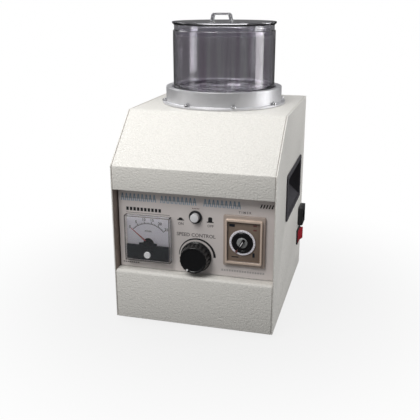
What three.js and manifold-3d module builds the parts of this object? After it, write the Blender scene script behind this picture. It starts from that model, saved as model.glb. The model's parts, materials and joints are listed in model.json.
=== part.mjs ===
// A bench-top magnetic barrel finisher: a clear tub stands in an aluminium ring on a
// sheet-metal cabinet, and a motor under it spins a disc of magnets that drives the pins in the tub.
// Millimetres. +X is the user's right, +Y points away from the user, +Z is up.
// Inside this file x = 0 is the cabinet's centre plane, y = 0 its front face and z = 0 the table.
import * as THREE from "three";
import { mergeVertices } from "three/addons/utils/BufferGeometryUtils.js";
import Module from "manifold-3d";

const wasm = await Module();
wasm.setup();

// ---------------------------------------------------------------- driving dimensions
const GAP = 0.3; // between pieces that touch or are screwed together
const SHEET = 1.6; // thickness of the folded steel sheets

const CASE_W = 200;
const CASE_D = 240;
const CASE_H = 253;
const FOOT_H = 6;
const FRONT_H = 196; // height of the upright front, where the slope starts
const SLOPE_RUN = 65; // how far back the slope reaches
const UPPER_BAND_Z = 167; // lower edge of the front band above the controls
const LOWER_BAND_Z = 64; // upper edge of the front band below the controls
const RECESS = 14; // how far the control panel stands back
const SHEET_LIP = 12; // depth of the folded lips that the side panels screw to

const FLOOR = FOOT_H; // underside of the cabinet
const TOP = FLOOR + CASE_H;
const HALF_IN = CASE_W / 2 - SHEET; // from the centre plane to the inside of a side panel

const TUB_R = 66.5;
const TUB_WALL = 3;
const TUB_FLOOR_T = 16; // a thick bonded base, so that the pins roll just under the ring's rim
const TUB_CORNER = 8; // radius of the corner inside, between the floor and the wall
const TUB_H = 91;
const TUB_CLEARANCE = 1.5; // between the tub and the ring
const RING_WALL = 8.4;
const RING_FLANGE_W = 5; // how far the flange stands out of the ring
const RING_FLANGE_T = 2.4;
const RING_H = 21.4; // above the cabinet's top
const RING_SCREWS = 8;
const RING_POCKET_R = 3.7; // pocket for a screw head in the foot of the ring
const RING_POCKET_H = 4.5;
const RING_R = TUB_R + TUB_CLEARANCE + RING_WALL;
const RING_FLANGE_R = RING_R + RING_FLANGE_W;
const RING_SCREW_PCR = RING_R + RING_FLANGE_W / 2; // pitch circle radius of the flange screws
const SEAT_PLATE_T = 1;
const SEAT_LEDGE = 4; // how far the plate reaches under the ring, in a rebate
const SEAT_PLATE_R = TUB_R + TUB_CLEARANCE + SEAT_LEDGE;
const REAR_MARGIN = 1.6; // between the flange and the cabinet's back
const TUB_Y = CASE_D - REAR_MARGIN - RING_FLANGE_R; // the axis that the tub, the disc and the motor share
const LID_OVERHANG = 1.2;
const LID_R = TUB_R + LID_OVERHANG;
const LID_PLATE_T = 3.4;
const LID_COLLAR_H = 7;
const LID_PLUG_H = 6;
const LID_WALL = 2.5;
const LID_FIT = 0.5; // between the lid's plug and the tub
const GRIP_W = 28; // lid handle
const GRIP_DEEP = 12;
const GRIP_H = 10;
const GRIP_STRAP = 2.6;
const GRIP_X = -3.5; // the handle stands a little off the lid's centre

const ROTOR_GAP = 3.5; // between the magnets and the seat plate
const MAGNETS = 4;
const MAGNET_R = 15;
const MAGNET_T = 9;
const MAGNET_PCR = 39;
const YOKE_R = MAGNET_PCR + MAGNET_R + 4;
const YOKE_T = 4.5;
const HUB_R = 12;
const HUB_FLANGE_R = 22;
const HUB_FLANGE_T = 4;
const HUB_H = 18;
const SHAFT_R = 5;
const BEARING_R = 13;
const BEARING_T = 9;
const MOTOR_R = 38;
const MOTOR_LEN = 82;
const MOTOR_WALL = 3;
const END_CAP_T = 11;
const ARMATURE_R = 31;
const ARMATURE_SLOTS = 8;
const DECK_T = 3;
const DECK_SIDE_ROOM = 30; // between the deck and each side of the cabinet
const DECK_W = CASE_W - 2 * DECK_SIDE_ROOM;
const DECK_UNDER_TOP = 47; // from the cabinet's top down to the deck's upper face
const POST_R = 5;
const POST_INSET = 10; // from the deck's edges
const POST_X = DECK_W / 2 - POST_INSET;
const POST_Y = MOTOR_R - 2;
const DECK_D = 2 * (POST_Y + POST_INSET);

const METER_SIDE = 58;
const METER_MARGIN = 13; // from the cabinet's left side
const METER_X = METER_MARGIN + METER_SIDE / 2 - CASE_W / 2;
const METER_Z = FLOOR + 105;
const METER_PROUD = 8; // the cover's height over the panel
const METER_WALL = 1.5;
const METER_BARREL_R = METER_SIDE / 2 - 5;
const METER_BARREL_LEN = 33;
const METER_MASK_H = METER_SIDE / 3;
const METER_PIVOT_RISE = 1.5; // the needle's pivot over the mask's upper edge
const NEEDLE_LEN = METER_SIDE / 2;
const NEEDLE_REST = -50; // degrees from straight up, zero on the scale
const ZERO_SCREW_R = 4.2;

const SWITCH_X = 1.6;
const SWITCH_Z = FLOOR + 137;
const SWITCH_BEZEL_R = 8;
const SWITCH_BEZEL_T = 2;
const SWITCH_BARREL_R = 6.8;
const BUTTON_R = 5.2;
const BUTTON_PROUD = 5.5; // over the bezel, switched off
const BUTTON_TRAVEL = 3.5;

const KNOB_X = 2.3;
const KNOB_Z = FLOOR + 86.7;
const KNOB_SKIRT_R = 19.3;
const KNOB_R = 18;
const KNOB_FRONT_R = 16.6;
const KNOB_FLUTES = 20;
const KNOB_FLUTE_R = 1.9;
const KNOB_PROUD = 3; // past the cabinet's front face
const POT_R = 12;
const POT_T = 11;
const POT_SHAFT_R = 3;

const TIMER_FRAME_W = 50;
const TIMER_MARGIN = 13.6; // from the cabinet's right side
const TIMER_X = CASE_W / 2 - TIMER_MARGIN - TIMER_FRAME_W / 2;
const TIMER_Z = FLOOR + 112;
const TIMER_FRAME_H = 63;
const TIMER_RIM_W = 44;
const TIMER_RIM_H = 55;
const TIMER_W = 39;
const TIMER_H = 49;
const TIMER_LEN = 58;
const TIMER_DIAL_R = 12.8;
const TIMER_DIAL_DX = -1.6; // the dial's axis from the timer's centre
const TIMER_DIAL_DZ = -0.6;

const POCKET_Y = CASE_D - 103; // centre of the hand hold in each side panel
const POCKET_Z = FLOOR + 148;
const POCKET_L = 124;
const POCKET_H = 60;
const POCKET_RIM = 4;
const POCKET_PROUD = 2;
const POCKET_DEPTH = 20;
const POCKET_WALL = 2;

const ROCKER_Y = CASE_D - 32;
const ROCKER_Z = FLOOR + 55;
const ROCKER_L = 30;
const ROCKER_H = 22;
const ROCKER_PROUD = 2;
const ROCKER_FRAME_W = 1.9; // width of the frame round the paddle
const ROCKER_BODY_DEPTH = 18;
const ROCKER_TILT = 9; // degrees to either side
const INLET_Y = CASE_D - 25;
const INLET_Z = FLOOR + 84.5;
const INLET_L = 28;
const INLET_H = 26;
const INLET_PROUD = 7;
const INLET_BODY_DEPTH = 16;
const CUTOUT_LIP = 0.8; // how far the rocker's and the inlet's flanges cover the panel round their cutouts
const SOCKET_L = 24.6;
const SOCKET_H = 17.2;
const PIN_RECESS = 6; // from the socket's mouth to the pins' tips

const FOOT_R = 11;
const FOOT_SIDE_INSET = 24;
const FOOT_X = CASE_W / 2 - FOOT_SIDE_INSET;
const FOOT_INSET = 26; // from the cabinet's front and back

const ROUND = 48; // sides of a large round piece
const HALF_ROUND = 32; // of the motor and other middling ones
const SMALL_ROUND = 20;

// ---------------------------------------------------------------- solids
// A three.js geometry as a manifold solid: only position is kept, and collapsed triangles go.
function solidOf(geometry) {
  for (const name of Object.keys(geometry.attributes)) {
    if (name !== "position") geometry.deleteAttribute(name);
  }
  const merged = mergeVertices(geometry, 1e-4);
  const index = merged.index.array;
  const kept = [];
  for (let i = 0; i < index.length; i += 3) {
    const [a, b, c] = [index[i], index[i + 1], index[i + 2]];
    if (a !== b && b !== c && a !== c) kept.push(a, b, c);
  }
  const vertProperties = new Float32Array(merged.attributes.position.array);
  const triVerts = new Uint32Array(kept);
  return new wasm.Manifold(new wasm.Mesh({ numProp: 3, vertProperties, triVerts }));
}

function block(x0, x1, y0, y1, z0, z1) {
  const box = new THREE.BoxGeometry(x1 - x0, y1 - y0, z1 - z0);
  return solidOf(box.translate((x0 + x1) / 2, (y0 + y1) / 2, (z0 + z1) / 2));
}

// An outline of [u, v] pairs pushed along an axis from one plane to another. The outline is drawn
// in the plane of the other two axes: y and z for X, x and z for Y, x and y for Z.
function prism(axis, outline, from, to) {
  const shape = new THREE.Shape(outline.map(([u, v]) => new THREE.Vector2(u, v)));
  const body = new THREE.ExtrudeGeometry(shape, { depth: to - from, bevelEnabled: false });
  body.translate(0, 0, from);
  const axesTurned = new THREE.Matrix4().set(0, 0, 1, 0, 1, 0, 0, 0, 0, 1, 0, 0, 0, 0, 0, 1);
  if (axis === "X") body.applyMatrix4(axesTurned);
  if (axis === "Y") body.rotateX(Math.PI / 2);
  if (axis === "Y") body.translate(0, from + to, 0);
  return solidOf(body);
}

// A profile of [radius, height] pairs turned about an axis through [u, v] in the other two axes.
function turned(axis, [u, v], profile, sides = SMALL_ROUND) {
  const area = profile.reduce((sum, [r, h], i) => {
    const [r2, h2] = profile[(i + 1) % profile.length];
    return sum + r * h2 - r2 * h;
  }, 0);
  const ordered = area > 0 ? profile : [...profile].reverse();
  const points = ordered.map(([r, h]) => new THREE.Vector2(r, h));
  if (!(points[0].x === 0 && points[points.length - 1].x === 0)) points.push(points[0].clone());
  const body = new THREE.LatheGeometry(points, sides);
  if (axis === "Z") return solidOf(body.rotateX(Math.PI / 2).translate(u, v, 0));
  if (axis === "X") return solidOf(body.rotateZ(-Math.PI / 2).translate(0, u, v));
  return solidOf(body.translate(u, 0, v));
}

function rod(axis, centre, radius, from, to, sides = SMALL_ROUND) {
  return turned(axis, centre, [[0, from], [radius, from], [radius, to], [0, to]], sides);
}

function ring(axis, centre, inner, outer, from, to, sides = SMALL_ROUND) {
  return turned(axis, centre, [[inner, from], [outer, from], [outer, to], [inner, to]], sides);
}

// Corners of a rectangle with its corners cut by a straight chamfer or, with steps, a round.
function rectangle(cx, cy, width, height, radius = 0, steps = 3) {
  if (radius === 0) steps = 0;
  const corners = [[1, -1], [1, 1], [-1, 1], [-1, -1]];
  return corners.flatMap(([sx, sy], k) => {
    const x = cx + sx * (width / 2 - radius);
    const y = cy + sy * (height / 2 - radius);
    return Array.from({ length: steps + 1 }, (_, i) => {
      const angle = ((k - 1) * 90 + (steps ? (i / steps) * 90 : 0)) * (Math.PI / 180);
      return [x + radius * Math.cos(angle), y + radius * Math.sin(angle)];
    });
  });
}

// n points on a circle, the first at `start` degrees from the front (-Y), going towards +X.
function around(n, radius, start = 0) {
  return Array.from({ length: n }, (_, i) => {
    const angle = ((start + (i * 360) / n) * Math.PI) / 180;
    return [radius * Math.sin(angle), -radius * Math.cos(angle)];
  });
}

const union = (solids) => solids.reduce((all, one) => all.add(one));

// ---------------------------------------------------------------- materials and the group
function paint(color, roughness, metalness = 0) {
  return new THREE.MeshStandardMaterial({ color, roughness, metalness });
}

const CLEAR_PLASTIC = { color: 0xdfe3e8, roughness: 0.05, transparent: true, opacity: 0.3 };

const MATERIAL = {
  casePaint: paint(0xe2e0d8, 0.55),
  label: paint(0xbdb4b0, 0.5),
  aluminium: paint(0xc4c6ca, 0.35, 1),
  steel: paint(0xb9bbbe, 0.3, 1),
  clear: new THREE.MeshStandardMaterial(CLEAR_PLASTIC),
  blackPlastic: paint(0x17171a, 0.45),
  white: paint(0xe6e6ea, 0.4),
  bronze: paint(0xa2907f, 0.35),
  dial: paint(0xe9e6ee, 0.6),
  red: paint(0xc0192c, 0.3),
  needle: paint(0xc23a4c, 0.5),
  rubber: paint(0x1b1b1b, 0.9),
  brass: paint(0xc8a24a, 0.3, 1),
  magnet: paint(0x3c3d42, 0.5, 0.6),
  board: paint(0x2c5a37, 0.6),
};

const machine = new THREE.Group();

function add(name, solid, material) {
  const raw = solid.getMesh();
  const geometry = new THREE.BufferGeometry();
  geometry.setAttribute("position", new THREE.BufferAttribute(new Float32Array(raw.vertProperties), 3));
  geometry.setIndex(new THREE.BufferAttribute(new Uint32Array(raw.triVerts), 1));
  geometry.computeVertexNormals();
  const mesh = new THREE.Mesh(geometry, material);
  mesh.name = name;
  machine.add(mesh);
}

// ---------------------------------------------------------------- cabinet
// The sheet line from the upper band's lower edge over the slope to the back, moved inwards by d.
function wrapLine(d, back) {
  const rise = CASE_H - FRONT_H;
  const length = Math.hypot(SLOPE_RUN, rise);
  const inY = rise / length; // the slope's inward normal
  const inZ = -SLOPE_RUN / length;
  const frontCornerZ = FLOOR + FRONT_H + (d * (1 - inY)) / inZ;
  const topCornerY = SLOPE_RUN + (d * (1 + inZ)) / inY;
  return [[d, FLOOR + UPPER_BAND_Z], [d, frontCornerZ], [topCornerY, TOP - d], [back, TOP - d]];
}

const INNER_X = HALF_IN - GAP; // half the width of the sheets that fit between the side panels

function sidePanelBlank(x0, x1) {
  const outline = [
    [0, FLOOR], [CASE_D, FLOOR], [CASE_D, TOP], [SLOPE_RUN, TOP], [0, FLOOR + FRONT_H],
  ];
  const hole = rectangle(POCKET_Y, POCKET_Z, POCKET_L - 2 * POCKET_RIM, POCKET_H - 2 * POCKET_RIM);
  return prism("X", outline, x0, x1).subtract(prism("X", hole, x0 - 1, x1 + 1));
}

// A block from x0 to x1 that fits behind a side fitting's flange, smaller all round by `inset`.
function behindFlange(x0, x1, [y, z], [length, height], inset) {
  const [l, h] = [length / 2 - inset, height / 2 - inset];
  return block(x0, x1, y - l, y + l, z - h, z + h);
}

function addSidePanels() {
  add("side_panel_left", sidePanelBlank(-CASE_W / 2, -HALF_IN), MATERIAL.casePaint);
  const [x0, x1] = [HALF_IN - 1, CASE_W / 2 + 1];
  const rocker = behindFlange(x0, x1, [ROCKER_Y, ROCKER_Z], [ROCKER_L, ROCKER_H], CUTOUT_LIP);
  const inlet = behindFlange(x0, x1, [INLET_Y, INLET_Z], [INLET_L, INLET_H], CUTOUT_LIP);
  const right = sidePanelBlank(HALF_IN, CASE_W / 2).subtract(rocker).subtract(inlet);
  add("side_panel_right", right, MATERIAL.casePaint);
}

// Upper front band, slope and top from one sheet, with lips folded down inside the side panels
// and a ledge folded back over the control panel.
function addTopCover() {
  const back = CASE_D;
  const outer = wrapLine(0, back);
  const blank = prism("X", [...outer, ...wrapLine(SHEET_LIP, back).reverse()], -INNER_X, INNER_X);
  const hollow = prism("X", [
    [SHEET, FLOOR + UPPER_BAND_Z - 1], ...wrapLine(SHEET, back + 1).slice(1),
    ...wrapLine(SHEET_LIP + 2, back + 1).reverse().slice(0, 3), [SHEET_LIP + 2, FLOOR + UPPER_BAND_Z - 1],
  ], -INNER_X + SHEET, INNER_X - SHEET);
  const ledgeZ = FLOOR + UPPER_BAND_Z;
  const ledge = block(-INNER_X, INNER_X, 0, RECESS - GAP, ledgeZ, ledgeZ + SHEET);
  const hole = rod("Z", [0, TUB_Y], TUB_R, TOP - SHEET - 1, TOP + 1, ROUND);
  add("top_cover", blank.subtract(hollow).add(ledge).subtract(hole), MATERIAL.casePaint);
}

// Floor, lower front band with its rounded ledge, and lips for the side panels.
function addBaseTray() {
  const bandTop = FLOOR + LOWER_BAND_Z;
  const bend = 4;
  const arc = (radius, steps) => Array.from({ length: steps + 1 }, (_, i) => {
    const angle = Math.PI / 2 + ((steps - i) / steps) * (Math.PI / 2);
    return [bend + radius * Math.cos(angle), bandTop - bend + radius * Math.sin(angle)];
  });
  const front = prism("X", [
    [0, FLOOR], ...arc(bend, 5), [RECESS - GAP, bandTop], [RECESS - GAP, bandTop - SHEET],
    ...arc(bend - SHEET, 5).reverse(), [SHEET, FLOOR],
  ], -INNER_X, INNER_X);
  const floor = block(-INNER_X, INNER_X, 0, CASE_D - SHEET - GAP, FLOOR, FLOOR + SHEET);
  const lips = [-1, 1].map((side) => {
    const xs = [side * INNER_X, side * (INNER_X - SHEET)].sort((a, b) => a - b);
    return block(xs[0], xs[1], SHEET, CASE_D - SHEET - GAP, FLOOR, FLOOR + SHEET_LIP);
  });
  add("base_tray", union([floor, front, ...lips]), MATERIAL.casePaint);
}

// Flat back with two rows of ventilation slots.
function addRearPanel() {
  const panel = block(-INNER_X, INNER_X, CASE_D - SHEET, CASE_D, FLOOR, TOP - SHEET - GAP - SHEET_LIP);
  const slotsPerRow = 9;
  const slotPitch = 14;
  const slotW = 5;
  const slotH = 46;
  const rows = [FLOOR + 44, FLOOR + 150];
  const slots = rows.flatMap((z) => Array.from({ length: slotsPerRow }, (_, i) => {
    const x = (i - (slotsPerRow - 1) / 2) * slotPitch;
    return block(x - slotW / 2, x + slotW / 2, CASE_D - SHEET - 1, CASE_D + 1, z, z + slotH);
  }));
  const upperEdge = block(-INNER_X + SHEET + GAP, INNER_X - SHEET - GAP, CASE_D - SHEET, CASE_D,
    TOP - SHEET - GAP - SHEET_LIP - 1, TOP - SHEET - GAP);
  add("rear_panel", slots.reduce((p, s) => p.subtract(s), panel.add(upperEdge)), MATERIAL.casePaint);
}

const PANEL_FRONT = RECESS; // front face of the control panel's sheet
const LABEL_T = 0.5;
const LABEL_FRONT = PANEL_FRONT - GAP - LABEL_T;
const FITTING_BACK = LABEL_FRONT - GAP; // where bezels and frames sit on the label

// Holes that the control panel and its label share, cut from y0 to y1.
function panelHoles(y0, y1) {
  return union([
    rod("Y", [METER_X, METER_Z], METER_BARREL_R + 2 * GAP, y0, y1, HALF_ROUND),
    rod("Y", [SWITCH_X, SWITCH_Z], SWITCH_BARREL_R + GAP, y0, y1),
    rod("Y", [KNOB_X, KNOB_Z], POT_SHAFT_R + 1 + GAP, y0, y1),
    prism("Y", rectangle(TIMER_X, TIMER_Z, TIMER_W + 2 * GAP, TIMER_H + 2 * GAP), y0, y1),
  ]);
}

function addControlPanel() {
  const overlap = 8; // how far the panel reaches behind the bands
  const z0 = FLOOR + LOWER_BAND_Z - overlap;
  const z1 = FLOOR + UPPER_BAND_Z + overlap;
  const halfW = INNER_X - SHEET - GAP;
  const sheet = block(-halfW, halfW, PANEL_FRONT, PANEL_FRONT + SHEET, z0, z1);
  const holes = panelHoles(PANEL_FRONT - 1, PANEL_FRONT + SHEET + 1);
  add("control_panel", sheet.subtract(holes), MATERIAL.casePaint);
  const margin = 1;
  const label = block(-halfW, halfW, LABEL_FRONT, LABEL_FRONT + LABEL_T,
    FLOOR + LOWER_BAND_Z + margin, FLOOR + UPPER_BAND_Z - margin);
  add("panel_label", label.subtract(panelHoles(LABEL_FRONT - 1, PANEL_FRONT)), MATERIAL.label);
}

function addFeet() {
  const ys = [FOOT_INSET, CASE_D - FOOT_INSET];
  [-1, 1].forEach((side, i) => ys.forEach((y, j) => {
    const profile = [[0, 0], [FOOT_R - 1.5, 0], [FOOT_R, 1.5], [FOOT_R, FOOT_H - GAP], [0, FOOT_H - GAP]];
    const name = `foot_${j ? "rear" : "front"}_${i ? "right" : "left"}`;
    add(name, turned("Z", [side * FOOT_X, y], profile), MATERIAL.rubber);
  }));
}

// A scoop for the fingers: a flat rim on the outside, a cavity behind it with a floor that slopes
// inwards and upwards from the lower edge, and room to hook the fingers behind the upper edge.
function handHold(side) {
  const face = CASE_W / 2;
  const hookUp = 8; // how far the cavity rises behind the upper edge
  const z0 = POCKET_Z - POCKET_H / 2;
  const z1 = POCKET_Z + POCKET_H / 2;
  const y0 = POCKET_Y - POCKET_L / 2;
  const y1 = POCKET_Y + POCKET_L / 2;
  const rimOut = face + POCKET_PROUD;
  const rimIn = face + GAP;
  const inside = face - POCKET_DEPTH;
  const shellFront = face - SHEET - GAP - 0.2;
  const mouth0 = z0 + POCKET_RIM + POCKET_WALL + GAP;
  const mouth1 = z1 - POCKET_RIM - POCKET_WALL - GAP;
  const shellTop = z1 - POCKET_RIM - GAP;
  const rimOutline = rectangle(POCKET_Y, POCKET_Z, POCKET_L, POCKET_H, 3);
  const rim = prism("X", rimOutline, rimIn, rimOut);
  const throughY0 = y0 + POCKET_RIM + GAP;
  const throughY1 = y1 - POCKET_RIM - GAP;
  const neck = block(face - SHEET - 2, rimOut - 0.2, throughY0, throughY1, z0 + POCKET_RIM + GAP, shellTop);
  const shell = prism("Y", [
    [shellFront, z0 + POCKET_RIM + GAP], [shellFront, shellTop + hookUp],
    [inside, shellTop + hookUp], [inside, z0 + POCKET_DEPTH], [shellFront - 3.8, z0 + POCKET_RIM + GAP],
  ], throughY0, throughY1);
  const cavity = prism("Y", [
    [rimOut + 1, mouth0 - 1], [rimOut + 1, mouth1], [shellFront - POCKET_WALL, mouth1],
    [shellFront - POCKET_WALL, shellTop + hookUp - POCKET_WALL],
    [inside + POCKET_WALL, shellTop + hookUp - POCKET_WALL],
    [inside + POCKET_WALL, mouth0 + POCKET_DEPTH - 2 * POCKET_WALL], [rimOut - POCKET_WALL, mouth0 - 1],
  ], throughY0 + POCKET_WALL, throughY1 - POCKET_WALL);
  const made = union([rim, neck, shell]).subtract(cavity);
  return side > 0 ? made : made.mirror([1, 0, 0]);
}

function addHandHolds() {
  add("hand_hold_right", handHold(1), MATERIAL.blackPlastic);
  add("hand_hold_left", handHold(-1), MATERIAL.blackPlastic);
}

// ---------------------------------------------------------------- tub and its seat
const PLATE_Z = TOP + GAP;
const FLANGE_Z = TOP + GAP;
const RING_TOP = TOP + RING_H;
const TUB_Z = PLATE_Z + SEAT_PLATE_T + GAP;
const TUB_TOP = TUB_Z + TUB_H;
const LID_Z = TUB_TOP + GAP;
const LID_TOP = LID_Z + LID_COLLAR_H + LID_PLATE_T;

function addSeat() {
  const plate = rod("Z", [0, TUB_Y], SEAT_PLATE_R, PLATE_Z, PLATE_Z + SEAT_PLATE_T, ROUND);
  add("seat_plate", plate, MATERIAL.steel);
  const bore = TUB_R + TUB_CLEARANCE;
  const rebate = SEAT_PLATE_R + GAP;
  const rebateZ = PLATE_Z + SEAT_PLATE_T + GAP;
  const flangeTop = FLANGE_Z + RING_FLANGE_T;
  const fillet = 0.6;
  const edge = 1;
  const body = turned("Z", [0, TUB_Y], [
    [bore, rebateZ], [rebate, rebateZ], [rebate, FLANGE_Z], [RING_FLANGE_R, FLANGE_Z],
    [RING_FLANGE_R, flangeTop], [RING_R + fillet, flangeTop], [RING_R, flangeTop + fillet],
    [RING_R, RING_TOP - edge], [RING_R - edge, RING_TOP], [bore + edge, RING_TOP], [bore, RING_TOP - edge],
  ], ROUND);
  const pockets = around(RING_SCREWS, RING_SCREW_PCR, 180 / RING_SCREWS).map(([x, y]) => (
    rod("Z", [x, TUB_Y + y], RING_POCKET_R, flangeTop, flangeTop + RING_POCKET_H, 12)));
  add("seat_ring", pockets.reduce((all, p) => all.subtract(p), body), MATERIAL.aluminium);
}

function addTubAndLid() {
  const inner = TUB_R - TUB_WALL;
  const heel = 2;
  const floorTop = TUB_Z + TUB_FLOOR_T;
  const corner = [0, 1, 2, 3].map((i) => (i * Math.PI) / 6).map((angle) => [
    inner - TUB_CORNER * (1 - Math.cos(angle)), floorTop + TUB_CORNER * (1 - Math.sin(angle))]);
  add("tub", turned("Z", [0, TUB_Y], [
    [0, TUB_Z], [TUB_R - heel, TUB_Z], [TUB_R, TUB_Z + heel], [TUB_R, TUB_TOP], [inner, TUB_TOP],
    ...corner, [0, floorTop],
  ], ROUND), MATERIAL.clear);
  const collar = TUB_R - TUB_WALL / 2;
  const plug = inner - LID_FIT;
  const plateZ = LID_Z + LID_COLLAR_H;
  add("lid", turned("Z", [0, TUB_Y], [
    [0, plateZ], [plug - LID_WALL, plateZ], [plug - LID_WALL, LID_Z - LID_PLUG_H],
    [plug, LID_Z - LID_PLUG_H], [plug, LID_Z], [collar, LID_Z], [collar, plateZ - 0.6],
    [LID_R - 0.6, plateZ + 1], [LID_R, LID_TOP - 0.6], [LID_R - 0.6, LID_TOP], [0, LID_TOP],
  ], ROUND), MATERIAL.clear);
  const foot = LID_TOP + GAP;
  const slant = 1.5;
  const half = GRIP_W / 2;
  const strap = [
    [-half, foot], [-half + slant, foot + GRIP_H - 2], [-half + slant + 2, foot + GRIP_H],
    [half - slant - 2, foot + GRIP_H], [half - slant, foot + GRIP_H - 2], [half, foot],
    [half - GRIP_STRAP, foot], [half - GRIP_STRAP - slant, foot + GRIP_H - GRIP_STRAP],
    [-half + GRIP_STRAP + slant, foot + GRIP_H - GRIP_STRAP], [-half + GRIP_STRAP, foot],
  ];
  const grip = prism("Y", strap, TUB_Y - GRIP_DEEP / 2, TUB_Y + GRIP_DEEP / 2);
  add("lid_handle", grip.translate([GRIP_X, 0, 0]), MATERIAL.clear);
}

// ---------------------------------------------------------------- motor and magnet disc
const MAGNET_TOP = PLATE_Z - ROTOR_GAP;
const YOKE_TOP = MAGNET_TOP - MAGNET_T - GAP;
const HUB_TOP = YOKE_TOP - YOKE_T - GAP;
const DECK_TOP = TOP - DECK_UNDER_TOP;
const CAP_TOP = DECK_TOP - DECK_T - GAP;
const CAN_TOP = CAP_TOP - END_CAP_T - GAP;
const CAN_LOW = CAN_TOP - MOTOR_LEN;
const CAP_LOW = CAN_LOW - GAP - END_CAP_T;

// An end cap with a seat for its bearing, open towards the rotor.
function endCap(outer, towardsRotor) {
  const seat = BEARING_R + GAP;
  const bearingDepth = BEARING_T + GAP;
  const inner = outer + towardsRotor * END_CAP_T;
  const step = inner - towardsRotor * bearingDepth;
  return turned("Z", [0, TUB_Y], [
    [SHAFT_R + 1, outer], [MOTOR_R, outer], [MOTOR_R, inner],
    [seat, inner], [seat, step], [SHAFT_R + 1, step],
  ], HALF_ROUND);
}

function addMotor() {
  const axis = [0, TUB_Y];
  const can = ring("Z", axis, MOTOR_R - MOTOR_WALL, MOTOR_R, CAN_LOW, CAN_TOP, HALF_ROUND);
  add("motor_can", can, MATERIAL.steel);
  add("motor_top_cap", endCap(CAP_TOP, -1), MATERIAL.aluminium);
  add("motor_bottom_cap", endCap(CAP_LOW, 1), MATERIAL.aluminium);
  const upper = CAP_TOP - END_CAP_T;
  const bearing = (low) => ring("Z", axis, SHAFT_R + GAP / 3, BEARING_R, low, low + BEARING_T);
  add("upper_bearing", bearing(upper), MATERIAL.steel);
  add("lower_bearing", bearing(CAP_LOW + END_CAP_T - BEARING_T), MATERIAL.steel);
  const armatureClear = 10;
  const low = CAN_LOW + armatureClear;
  const high = CAN_TOP - armatureClear;
  const core = ring("Z", axis, SHAFT_R + GAP, ARMATURE_R, low, high, HALF_ROUND);
  const slotW = 5;
  const slotDepth = 8;
  const slots = around(ARMATURE_SLOTS, 1).map(([ux, uy]) => {
    const angle = (Math.atan2(uy, ux) * 180) / Math.PI;
    const cut = block(ARMATURE_R - slotDepth, ARMATURE_R + 2, -slotW / 2, slotW / 2, low - 1, high + 1);
    return cut.rotate([0, 0, angle]).translate([0, TUB_Y, 0]);
  });
  add("motor_armature", slots.reduce((all, s) => all.subtract(s), core), MATERIAL.steel);
  add("motor_shaft", rod("Z", axis, SHAFT_R, CAP_LOW + 2, HUB_TOP - 2), MATERIAL.steel);
}

function addMagnetDisc() {
  const axis = [0, TUB_Y];
  add("disc_hub", turned("Z", axis, [
    [SHAFT_R + GAP, HUB_TOP - HUB_H], [HUB_R, HUB_TOP - HUB_H], [HUB_R, HUB_TOP - HUB_FLANGE_T],
    [HUB_FLANGE_R, HUB_TOP - HUB_FLANGE_T], [HUB_FLANGE_R, HUB_TOP], [SHAFT_R + GAP, HUB_TOP],
  ]), MATERIAL.aluminium);
  add("magnet_yoke", rod("Z", axis, YOKE_R, YOKE_TOP - YOKE_T, YOKE_TOP, HALF_ROUND), MATERIAL.steel);
  around(MAGNETS, MAGNET_PCR, 45).forEach(([x, y], i) => {
    const magnet = rod("Z", [x, TUB_Y + y], MAGNET_R, MAGNET_TOP - MAGNET_T, MAGNET_TOP);
    add(`drive_magnet_${i + 1}`, magnet, MATERIAL.magnet);
  });
}

function addMotorFrame() {
  const [y0, y1] = [TUB_Y - DECK_D / 2, TUB_Y + DECK_D / 2];
  const plate = block(-DECK_W / 2, DECK_W / 2, y0, y1, DECK_TOP - DECK_T, DECK_TOP);
  const shaftHole = rod("Z", [0, TUB_Y], SHAFT_R + 4, DECK_TOP - DECK_T - 1, DECK_TOP + 1);
  add("motor_deck", plate.subtract(shaftHole), MATERIAL.steel);
  [-1, 1].forEach((sx, i) => [-1, 1].forEach((sy, j) => {
    const at = [sx * POST_X, TUB_Y + sy * POST_Y];
    const name = `deck_post_${j ? "rear" : "front"}_${i ? "right" : "left"}`;
    add(name, rod("Z", at, POST_R, FLOOR + SHEET + GAP, DECK_TOP - DECK_T - GAP, 6), MATERIAL.steel);
  }));
}

// ---------------------------------------------------------------- speed meter
const METER_FRONT = FITTING_BACK - METER_PROUD;
const METER_TRAY_T = 1;
const METER_DIAL_T = 0.8;
const NEEDLE_T = 0.5;
const MASK_T = 2.2;

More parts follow.
